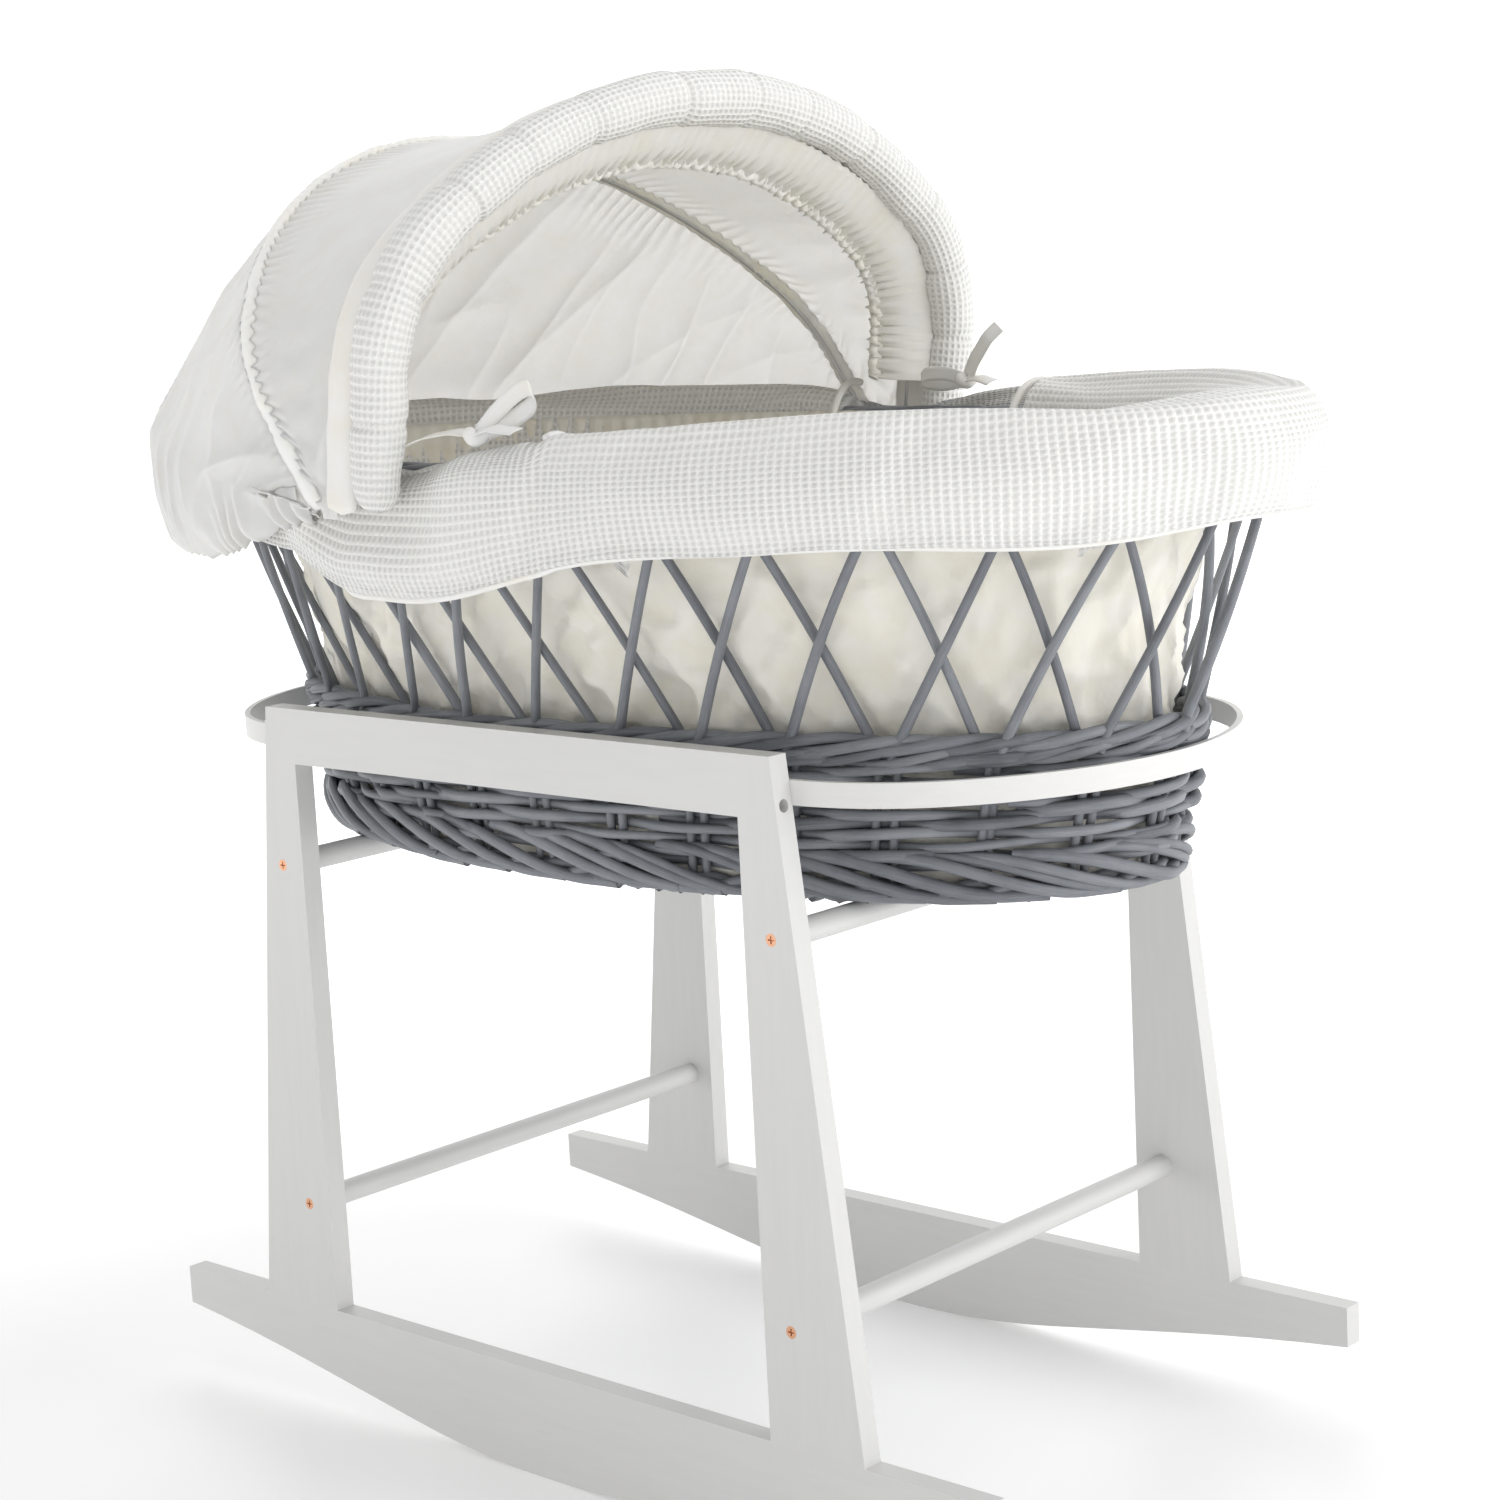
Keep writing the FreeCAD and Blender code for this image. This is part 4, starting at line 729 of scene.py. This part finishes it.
def crease(points, seed, low, high, count=9):
    # sharp-backed folds: sums of 1 - |sin| in slanting directions, each fading in and out along the wall
    rng = np.random.default_rng(seed)
    total = np.zeros(points.shape[:-1])
    for _ in range(count):
        slant = rng.normal(0, 0.85)
        way = np.array([np.cos(slant), np.sin(slant)])
        length = np.exp(rng.uniform(np.log(low), np.log(high)))
        phase = points @ way / length * np.pi + rng.uniform(0, 6.28)
        mask = np.sin(points @ rng.normal(size=2) / (high * 1.7) * 2 + rng.uniform(0, 6.28))
        total += (1 - np.abs(np.sin(phase))) ** 2.2 * np.clip(mask, 0, 1)
    return total / np.sqrt(count)


def makeLiner():
    # one gathered wall of cloth from the floor up to the rim, slack enough to fall into folds
    share = shareRound(liner["rows"])[:, None]
    height = np.linspace(0, 1, liner["cols"])[None]
    z = liner["floor"] + (liner["top"] - liner["floor"]) * height
    flat = np.stack(np.broadcast_arrays(share * roundTheWall, 1.3 * z), -1)
    turn = xyz(np.cos(2 * np.pi * share), np.sin(2 * np.pi * share), z * 3) * 0.31
    free = np.sin(np.pi * np.clip(height * 1.04, 0, 1)) ** 0.6
    fold = liner["bigFold"] * crease(flat, 31, 0.050, 0.15, 12)
    fold = fold + liner["smallFold"] * crease(flat, 32, 0.020, 0.055, 18)
    fold = np.minimum(fold, liner["mostFold"] + 0.15 * (fold - liner["mostFold"]))
    gather = 0.0016 * np.sin(2 * np.pi * share * 150 + 2 * waves(turn, 5, 0.1, 0.4)) * ease(height, 0.72, 1.0)
    swag = 0.0035 * waves(turn, 33, 0.10, 0.45)
    points = wallPoint(share, z, (fold - 0.0085 + swag) * free + gather, liner)
    wall = gridPiece("linerWall", points, roundTheWall, 0.28, closeRows=True, flip=True)
    thicken(wall, 0.0012)
    finish(wall, linerCotton, "basket", "liner_cotton", "liner_wall")


def makeLinerFloor():
    # an oval of cloth, rings from the middle out, a little uneven
    share = shareRound(liner["rows"])[:, None]
    radius = np.linspace(0.01, 1, 22)[None]
    angle = np.interp(share, shares, angles)
    x, y = liner["clothLong"] * radius * np.cos(angle), liner["clothWide"] * radius * np.sin(angle)
    z = liner["clothTop"] + 0.0010 * waves(xyz(x, y, 0), 34, 0.05, 0.2)
    points = xyz(basket["shift"] + x, y, z)
    cloth = gridPiece("linerFloor", points[::4], roundTheWall, 0.17, closeRows=True)
    thicken(cloth, 0.0010)
    finish(cloth, linerCotton, "basket", "liner_cotton", "liner_floor")


makeLiner()
makeLinerFloor()
print("liner made")

skirt = {"rows": 336, "cols": 68, "long": 0.4220, "wide": 0.2440, "slot": (-0.068, 0.105), "droopNear": 0.028,
         "droopFar": 0.012, "press": 0.0125, "dip": 0.0180, "rise": 0.0095, "binding": 0.0022, "slotBinding": 0.0028,
         "tucks": ((0.105, 0.0048), (0.125, 0.003), (0.31, 0.002), (-0.24, 0.003))}  # tucks: place and depth
# the cushion's outline as (out from the rim, height): up the outer side, over the rim, down inside, and back up
skirtFull = [(0.0130, 0.6180), (0.0195, 0.6195), (0.0265, 0.6285), (0.0315, 0.6430), (0.0318, 0.6575),
             (0.0278, 0.6715), (0.0195, 0.6825), (0.0090, 0.6880), (-0.0030, 0.6885), (-0.0140, 0.6845),
             (-0.0225, 0.6760), (-0.0285, 0.6640), (-0.0370, 0.6480), (-0.0470, 0.6260), (-0.0560, 0.6040),
             (-0.0580, 0.5980), (-0.0550, 0.5990), (-0.0430, 0.6260), (-0.0310, 0.6500), (-0.0215, 0.6640),
             (-0.0165, 0.6738), (-0.0080, 0.6750), (0.0010, 0.6738), (0.0042, 0.6680),
             (0.0045, 0.6550), (0.0065, 0.6400), (0.0085, 0.6260), (0.0100, 0.6190)]
# the same where the rim is bare: only the outer side is left
skirtSlot = [(0.0130, 0.6180), (0.0195, 0.6195), (0.0265, 0.6285), (0.0315, 0.6430), (0.0318, 0.6575),
             (0.0278, 0.6715), (0.0222, 0.6800), (0.0160, 0.6830), (0.0100, 0.6815), (0.0062, 0.6770),
             (0.0050, 0.6730), (0.0046, 0.6700), (0.0045, 0.6680), (0.0044, 0.6660), (0.0044, 0.6570),
             (0.0045, 0.6560), (0.0045, 0.6530), (0.0048, 0.6490), (0.0065, 0.6400), (0.0085, 0.6260), (0.0100, 0.6190)]


def evenSteps(line, count):
    # points at even distances along a broken line
    run = np.concatenate([[0], np.cumsum(np.linalg.norm(np.diff(line, axis=0), axis=1))])
    at = np.linspace(0, run[-1], count, endpoint=False)
    return np.stack([np.interp(at, run, line[:, 0]), np.interp(at, run, line[:, 1])], -1)


def closedProfile(corners):
    # even steps up the outer side, then even steps over the rim and back, rounded off a little
    line = np.array(corners + corners[:1])
    side = skirt["cols"] // 4
    even = np.concatenate([evenSteps(line[:6], side), evenSteps(line[5:], skirt["cols"] - side)])
    for _ in range(3):
        even = 0.5 * even + 0.25 * (np.roll(even, 1, 0) + np.roll(even, -1, 0))
    return even


def ringPoint(share, z, out):
    # a point of the oval just outside the rim
    return ovalPoint(share, skirt["long"], skirt["wide"], z, out)


def skirtSurface(share):
    # the cushion's outline carried round the rim, turning into the slot's outline between the slot's ends; the lower
    # edge droops by the hood's feet, the outer side is pressed in there, and sine waves and tucks make it uneven
    full, slot = closedProfile(skirtFull), closedProfile(skirtSlot)
    middle = ringPoint(share, 0.65, 0)
    x, y = middle[:, :1], middle[:, 1:2]
    start, end = skirt["slot"]
    opened = ease(x, start - 0.006, start + 0.006) * (1 - ease(x, end - 0.006, end + 0.006))
    out = full[:, 0] * (1 - opened) + slot[:, 0] * opened
    z = full[:, 1] * (1 - opened) + slot[:, 1] * opened
    outer = ease(out, 0.010, 0.018)
    low = 1 - ease(z, 0.622, 0.668)
    top = ease(z, 0.645, 0.690)
    press = skirt["press"] * ease(x, -0.135, -0.09) * (1 - ease(x, 0.002, 0.045)) * outer * ease(z, 0.632, 0.652)
    byTheFeet = ease(x, -0.14, -0.05) * (1 - ease(x, -0.02, 0.20))
    droop = byTheFeet * np.where(y < 0, skirt["droopNear"], skirt["droopFar"])
    out = out - press + 0.006 * droop / skirt["droopNear"] * outer * low
    out = out - 0.005 * (1 - ease(x, -0.20, -0.10)) * outer
    wander = waves(xyz(x, y, 0), 41, 0.10, 0.34)
    small = waves(xyz(x, y, z * 2), 42, 0.045, 0.12)
    z = z - droop * low + 0.0035 * wander * low + 0.0016 * wander * top
    z = z - skirt["dip"] * top * np.exp(-((x + 0.022) / 0.050) ** 2)
    z = z + skirt["rise"] * ease(x, 0.02, 0.43) * ease(z, 0.60, 0.66)
    out = out + (0.0024 * wander + 0.0016 * small) * outer
    for place, depth in skirt["tucks"]:
        tuck = np.exp(-((x - place - 0.35 * (z - 0.65)) / 0.0085) ** 2)
        out = out - depth * tuck * outer * ease(z, 0.60, 0.64)
    return ringPoint(share[:, None], z, out)


def makeSkirt():
    # the padded cushion over the rim, then the rope of its lower edge and the bindings at the slots' ends
    points = skirtSurface(shareRound(skirt["rows"]))
    pad = gridPiece("quiltedSkirt", points, 2.33, 0.34, closeRows=True, closeCols=True, flip=True)
    held = np.zeros(points.shape[:2], bool)
    held[:, :2] = held[:, -32:] = True
    puff(pad, 4.0, 0.0045, held)
    subdivide(pad)
    finish(pad, waffleCotton, "basket", "waffle_quilt", "quilted_skirt")
    edge = skirtSurface(shareRound(700))[:, 0] - np.array([0, 0, 0.0006])
    rope = tubes("skirtBinding", edge[None], skirt["binding"], 8, closed=True)
    finish(rope, ribbonCotton, "basket", "waffle_quilt", "skirt_binding")
    profile = closedProfile(skirtFull)
    inner = profile[np.argmax(profile[:, 1]) - 1:np.argmin(profile[:, 0]) - 1]
    ends = []
    for slotX in skirt["slot"]:
        for side in (-1, 1):
            turn = side * np.arccos((slotX - basket["shift"]) / skirt["long"])
            at = np.interp(turn % (2 * np.pi), angles, shares)
            ends.append(ringPoint(at, inner[:, 1] + 0.0012, inner[:, 0]))
    slotBinding = tubes("slotBinding", ends, skirt["slotBinding"], 8)
    finish(slotBinding, ribbonCotton, "basket", "waffle_quilt")


makeSkirt()
print("skirt made")

# the edge as (share of the half axes, share of the height), from the middle of the top round to the bottom's
bed = {"long": 0.334, "wide": 0.154, "low": 0.4088, "tall": 0.0395, "rows": 200, "piping": 0.0016,
       "edge": [(0.02, 1), (0.3, 1), (0.6, 1), (0.8, 1), (0.9, 0.995), (0.955, 0.975), (0.98, 0.92), (0.992, 0.8),
                (0.997, 0.5), (0.992, 0.2), (0.98, 0.08), (0.955, 0.025), (0.9, 0.005), (0.8, 0), (0.5, 0),
                (0.02, 0)]}


def bedOval(angle, long, wide, height):
    # a point of the mattress given as shares of its half axes and of its height
    x = basket["shift"] + bed["long"] * long * np.cos(angle)
    return xyz(x, bed["wide"] * wide * np.sin(angle), bed["low"] + bed["tall"] * height)


def makeMattress():
    # the edge outline carried round an oval: flat top and bottom, rounded edge; piping round both edges
    angle = around(bed["rows"])
    radius, height = np.array(bed["edge"]).T
    points = bedOval(angle[:, None], radius, radius, height)
    pad = gridPiece("mattressPad", points, 1.6, 0.3, closeRows=True, flip=True)
    subdivide(pad)
    finish(pad, mattressCotton, "mattress", "mattress_cotton", "mattress")
    rims = [bedOval(angle, 0.988, 0.985, height) for height in (0.9, 0.1)]
    piping = tubes("mattressPiping", rims, bed["piping"], 7, closed=True)
    finish(piping, mattressCotton, "mattress", "mattress_cotton")


makeMattress()
print("mattress made")

hood = {"foot": 0.652, "leg": 0.067, "corner": 0.120,
        "front": {"shift": -0.046, "wide": 0.272, "tall": 0.243, "lean": 7.7},
        "mid": {"shift": -0.076, "wide": 0.270, "tall": 0.268, "lean": -34.7}}


def archTube(line, arc, radius, flatten=1.0):
    # a circle, its radius given as an array of steps x sides, carried along a leaning arch
    centre = leanArch(line, arc["shift"], hood["foot"], arc["lean"])
    out, across = archFrame(line, arc["lean"])
    angle = around(radius.shape[1])[None, :, None]
    ring = np.cos(angle) * out[:, None] + np.sin(angle) * across[:, None] * flatten
    return centre[:, None] + radius[..., None] * ring


def closedEnds(count, length, reach):
    # radius share that rounds off both ends of a tube, a quarter circle each
    at = np.linspace(0, length, count)
    far = np.minimum(at, length - at) / reach
    return np.sqrt(np.clip(1 - (1 - np.clip(far, 0, 1)) ** 2, 0.0004, 1))


roll = {"shift": -0.016, "wide": 0.276, "tall": 0.241, "lean": 7.7, "corner": 0.124, "start": -0.010,
        "radius": 0.0178, "seams": 13, "pull": 0.20, "lump": 0.075}


def makeRoll():
    # a tube of waffle cloth stuffed and drawn in by a seam every hand's breadth, with slow lumps between
    count, sides = 330, 40
    line, length = archLine(roll["wide"], roll["tall"], hood["leg"], roll["corner"], roll["start"], count)
    along = np.linspace(0, 1, count)[:, None]
    angle = around(sides)[None]
    seamAt = along * roll["seams"] + 0.16 * np.sin(7 * along * np.pi)
    seam = np.exp(-((seamAt - np.round(seamAt)) / 0.045) ** 2)
    cord = 0.5 + 0.5 * np.sin(angle + np.round(seamAt) * 2.1)
    solid = xyz(along * length, 0.02 * np.cos(angle), 0.02 * np.sin(angle))
    lump = 1 + roll["lump"] * waves(solid, 51, 0.05, 0.14) + 0.03 * waves(solid, 52, 0.02, 0.05)
    radius = roll["radius"] * lump * (1 - roll["pull"] * seam * (0.35 + 0.65 * cord))
    radius = radius * closedEnds(count, length, 0.016)[:, None]
    radius = radius * (1 - 0.22 * (1 - ease(np.minimum(along, 1 - along) * length, 0.0, 0.07)))
    sway = waves(solid[:, :1], 53, 0.15, 0.4)[..., None] * np.array([0.0018, 0, 0.0012])
    tube = gridPiece("frontRoll", archTube(line, roll, radius) + sway, length, 0.116, closeCols=True, flip=True)
    held = np.zeros((count, sides), bool)
    held[:14] = held[-14:] = True
    puff(tube, 4.0, 0.003, held)
    subdivide(tube)
    finish(tube, waffleRoll, "front_hoop", "waffle_quilt", "front_roll")


casings = {
    "frontCasing": {"arc": "front", "proud": 0.0045, "start": -0.010, "radius": 0.0056, "flatten": 2.3,
                    "gathers": None, "cloth": shadedBandCotton, "body": "front_hoop", "node": "front_casing"},
    "midCasing": {"arc": "mid", "proud": 0.0034, "start": -0.008, "radius": 0.0044, "flatten": 1.5,
                  "gathers": 0.0098, "cloth": hoodCotton, "body": "mid_hoop", "node": "mid_casing"}}


def makeCasing(name, form):
    # the cloth sleeve round a hoop wire, a flattened tube; the gathered one bunches up like a scrunched sleeve
    arc, radius, gathers = hood[form["arc"]], form["radius"], form["gathers"]
    count, sides = 1500 if gathers else 240, 16
    wide, tall = arc["wide"] + form["proud"], arc["tall"] + form["proud"]
    line, length = archLine(wide, tall, hood["leg"], hood["corner"], form["start"], count)
    along = np.linspace(0, 1, count)[:, None]
    angle = around(sides)[None]
    solid = xyz(along * length, 0.01 * np.cos(angle), 0.01 * np.sin(angle))
    uneven = 0.14 * waves(solid, 62, 0.02, 0.09)
    if gathers:
        bunch = np.sin(2 * np.pi * along * length / gathers + 3.5 * waves(solid, 61, 0.02, 0.2))
        level = 0.07 * (1 + 0.8 * waves(solid, 63, 0.05, 0.2)) * (0.6 + 0.4 * np.sin(angle * 2 + 40 * along))
        size = radius * (1 + uneven + level * bunch)
    else:
        size = radius * (1 + 0.4 * uneven)
    points = archTube(line, arc, size * closedEnds(count, length, 0.006)[:, None], form["flatten"])
    sleeve = gridPiece(name, points, length, radius * 6.28, closeCols=True, flip=True)
    finish(sleeve, form["cloth"], form["body"], "hood_cotton", form["node"])


# inside the roll: how far the strip goes in and back, and how it is gathered
ruffle = {"inset": 0.0160, "corner": 0.108, "start": 0.036, "inward": 0.0290, "back": 0.0300, "wide": 0.046,
          "pitch": 0.0105, "fold": 0.0040, "elastic": 0.0040, "fullness": 1.25}


def makeRuffle():
    # a strip gathered on elastic inside the front roll: folds deepen towards the drawn-up edge
    count, deep = 1300, 16
    wide, tall = roll["wide"] - ruffle["inset"], roll["tall"] - ruffle["inset"]
    line, length = archLine(wide, tall, hood["leg"], ruffle["corner"], ruffle["start"], count)
    centre = leanArch(line, roll["shift"], hood["foot"], roll["lean"])
    out, across = archFrame(line, roll["lean"])
    v = np.linspace(0, 1, deep)[None, :, None]
    along = np.linspace(0, length, count)
    phase = 2 * np.pi * along / ruffle["pitch"] + 3.2 * waves(xyz(along, 0, 0), 71, 0.03, 0.25)
    big, little = np.sin(phase)[:, None, None], np.sin(2.3 * phase + 1)[:, None, None]
    fold = big * (ruffle["fold"] * v ** 0.7 + 0.0006) + 0.0022 * little * v
    inward = -ruffle["inward"] * v - 0.0060 * np.sin(np.pi * v)
    back = -ruffle["back"] * v
    surface = centre[:, None] + out[:, None] * (inward + fold * 0.75) + across[:, None] * (back + fold * 0.66)
    strip = gridPiece("hoodRuffle", surface, length, 0.045)
    thicken(strip, 0.0008)
    finish(strip, ruffleCotton, "front_hoop", "hood_cotton", "ruffle")
    middle = centre + out * (0.0016 * np.sin(phase)[:, None] - ruffle["inward"]) - across * ruffle["back"]
    swell = ruffle["elastic"] * (1 + 0.20 * np.sin(phase) + 0.12 * np.sin(2.1 * phase))
    edge = tubes("ruffleElastic", middle[None], swell[None], 10, ref=(1.0, 0.0, 0.1))
    finish(edge, ruffleCotton, "front_hoop", "hood_cotton")


def loftSections(sections, count, rows, smoothing):
    # surface through arches: even steps along each, joined front to back
    lines = []
    for wide, tall, shift, base, lean, leg, corner, start in sections:
        line = archLine(wide, tall, leg, corner, start, count)[0]
        lines.append(leanArch(line, shift, base, lean))
    lines = np.array(lines)
    gap = np.linalg.norm(np.diff(lines, axis=0), axis=-1).mean(1)
    run = np.concatenate([[0], np.cumsum(gap)])
    at = np.linspace(0, run[-1], rows)
    k = np.clip(np.searchsorted(run, at, side="right") - 1, 0, len(run) - 2)
    f = ((at - run[k]) / (run[k + 1] - run[k]))[:, None, None]
    surface = lines[k] * (1 - f) + lines[k + 1] * f
    for _ in range(smoothing):
        surface[1:-1] = 0.5 * surface[1:-1] + 0.25 * (surface[2:] + surface[:-2])
    return surface, run[-1], at[:, None] / run[-1]


def gridNormal(surface):
    # square to both ways of the grid
    return unit(np.cross(np.gradient(surface, axis=1), np.gradient(surface, axis=0)))


def hang(obj):
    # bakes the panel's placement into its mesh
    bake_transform(obj)


# each arch as half width, height, shift, foot height, lean in degrees, straight leg, corner radius, start
frontArches = [(0.2765, 0.2465, -0.0510, 0.652, 7.7, 0.067, 0.121, -0.013),
               (0.2760, 0.2725, -0.0725, 0.652, -34.7, 0.067, 0.121, -0.015)]
backArches = [(0.2755, 0.2720, -0.0800, 0.652, -34.7, 0.067, 0.120, -0.015),
              (0.2755, 0.2835, -0.0860, 0.650, -58, 0.060, 0.125, -0.010),
              (0.2760, 0.3570, -0.0875, 0.648, -82, 0.010, 0.400, 0.001),
              (0.2745, 0.3615, -0.0910, 0.640, -90, 0.002, 0.425, 0.001),
              (0.2655, 0.3500, -0.0925, 0.6100, -90, 0.002, 0.425, 0.001),
              (0.2560, 0.3400, -0.0940, 0.6060, -90, 0.002, 0.425, 0.004)]


def frontPanel():
    # taut cloth between the two hoops with folds that fan out from the feet
    count, rows = 900, 44
    surface, deep, v = loftSections(frontArches, count, rows, 0)
    along = np.linspace(0, 0.9, count)[None]
    normal = gridNormal(surface)
    low = 1 - ease(surface[..., 2], 0.66, 0.86)
    place = xyz(along, 0.25 * v, 0)
    fans = np.sin(2 * np.pi * along / 0.034 + 2.5 * waves(place, 81, 0.1, 0.4))
    long = waves(xyz(along, 0.12 * v, 0), 82, 0.05, 0.20)
    pinch = 0.0011 * np.sin(2 * np.pi * along / 0.0095 + 3 * waves(place, 83, 0.04, 0.2)) * ease(v, 0.74, 1.0)
    free = np.sin(np.pi * v) ** 0.8
    sag = -0.0055 * free * (1 - 0.6 * low)
    surface = surface + normal * (sag + free * (0.0016 * long + 0.0022 * fans * low) + pinch)[..., None]
    panel = gridPiece("hoodFrontPanel", surface, deep, 0.9)
    finish(panel, hoodCotton, None, "hood_cotton", "hood_front_panel")
    hang(panel)
    thicken(panel, 0.0010)


def backPanel():
    # the hood's back: straight from the rear hoop to the shoulder of the skirt, then tucked under it; two families
    # of sharp-backed folds run down it aslant, and its upper and lower edges are gathered
    count, rows = 640, 74
    surface, deep, v = loftSections(backArches, count, rows, 9)
    surface[..., 2] += 0.030 * (1 - ease(-surface[..., 0], 0.09, 0.24)) * ease(v, 0.6, 1.0)
    normal = gridNormal(surface)
    along = np.linspace(0, 0.95, count)[None]
    down = deep * v
    side = np.sign(along - 0.475)
    slide = along + side * 0.30 * down
    place = xyz(slide, 0.30 * down, 0)
    folds = 1 - np.abs(np.sin(np.pi * slide / 0.072 + 1.6 * waves(place, 91, 0.12, 0.4)))
    other = 1 - np.abs(np.sin(np.pi * (along - side * 0.12 * down) / 0.041 + 2.0 * waves(place, 92, 0.10, 0.3)))
    mask = 0.5 + 0.5 * waves(place, 93, 0.15, 0.5)
    free = np.sin(np.pi * v) ** 0.7
    body = 0.0110 * folds ** 1.7 * np.clip(mask, 0, 1) + 0.0052 * other ** 1.6 * np.clip(1.2 - mask, 0, 1)
    bunch = np.sin(2 * np.pi * along / 0.0095 + 3 * waves(place, 94, 0.04, 0.2)) * (1 - ease(v, 0.0, 0.20))
    bunch = bunch * 0.0010 * (1 + 0.7 * waves(place, 96, 0.05, 0.3))
    hem = np.sin(2 * np.pi * along / 0.0170 + 5 * waves(place, 95, 0.04, 0.2)) * ease(v, 0.76, 0.98)
    hem = hem * 0.0019 * (1 + 0.7 * waves(place, 97, 0.05, 0.3))
    surface = surface + normal * (free * (body - 0.002) + bunch + hem)[..., None]
    panel = gridPiece("hoodBackPanel", surface, deep, 0.95)
    finish(panel, hoodCotton, None, "hood_cotton", "hood_back_panel")
    hang(panel)
    thicken(panel, 0.0010)


makeRoll()
for name, form in casings.items():
    makeCasing(name, form)
makeRuffle()
frontPanel()
backPanel()
print("hood made")


def ribbon(path, side, width):
    # a flat strip across a smoothed middle line, curled a little like a gutter
    run = np.concatenate([[0], np.cumsum(np.linalg.norm(np.diff(path, axis=0), axis=1))])
    at = np.linspace(0, run[-1], 60)
    centre = np.stack([np.interp(at, run, path[:, k]) for k in range(3)], -1)
    for _ in range(10):
        centre[1:-1] = 0.5 * centre[1:-1] + 0.25 * (centre[2:] + centre[:-2])
    across = unit(np.broadcast_to(np.array(side, float), centre.shape))
    w = np.linspace(-0.5, 0.5, 5)[None, :, None]
    curl = unit(np.cross(across, np.gradient(centre, axis=0)))[:, None] * w ** 2 * 0.0022
    return centre[:, None] + across[:, None] * w * width + curl, run[-1]


# each strip's middle line from the knot, and the direction across it
ties = {
    "tieNear": {"node": "tie_near", "knot": (0.048, -0.2470, 0.6885), "strips": {
        "Loop": ([(0, 0, 0), (0.010, 0.004, 0.012), (0.026, 0.010, 0.026), (0.036, 0.012, 0.030),
                  (0.034, 0.016, 0.018), (0.016, 0.008, 0.006), (0, 0, 0.002)], (0.25, 0.1, -0.9)),
        "Tail": ([(0, 0, 0.001), (-0.014, -0.006, 0.003), (-0.034, -0.012, 0.000), (-0.052, -0.014, -0.006)],
                 (0.2, 0.9, 0.25)),
        "Other": ([(0, 0, 0.002), (0.016, -0.004, 0.006), (0.040, -0.006, 0.004)], (0.1, 1, 0.3))}},
    "tieFar": {"node": "tie_far", "knot": (0.034, 0.2470, 0.6885), "strips": {
        "Loop": ([(0, 0, 0), (-0.012, -0.008, 0.006), (-0.028, -0.014, 0.006), (-0.034, -0.012, 0.000),
                  (-0.018, -0.006, -0.003), (0, 0, 0)], (0.3, -0.3, 0.9)),
        "Tail": ([(0, 0, 0), (0.012, -0.006, 0.014), (0.026, -0.008, 0.030), (0.034, -0.004, 0.038)],
                 (0.75, -0.1, -0.6)),
        "Other": ([(0, 0, 0.001), (0.018, -0.010, 0.003), (0.036, -0.018, 0.000)], (0.2, 0.9, 0.3))}}}
tape = {"wide": 0.011, "thick": 0.0007, "knot": 0.0042}


def makeTies():
    # flat strips from a small saddle-shaped knot
    for name, tie in ties.items():
        for label, (path, side) in tie["strips"].items():
            points, length = ribbon(np.array(path) + tie["knot"], side, tape["wide"])
            strip = gridPiece(name + label, points, length, tape["wide"])
            thicken(strip, tape["thick"])
            finish(strip, ribbonCotton, "basket", "ribbon")
        t = around(24)
        ring = xyz(0.0035 * np.cos(t), 0.0055 * np.sin(t), 0.0020 * np.sin(2 * t)) + np.array(tie["knot"])
        knot = tubes(name + "Knot", ring[None], tape["knot"], 10, closed=True)
        finish(knot, ribbonCotton, "basket", "ribbon", tie["node"])


makeTies()
print("ties made")
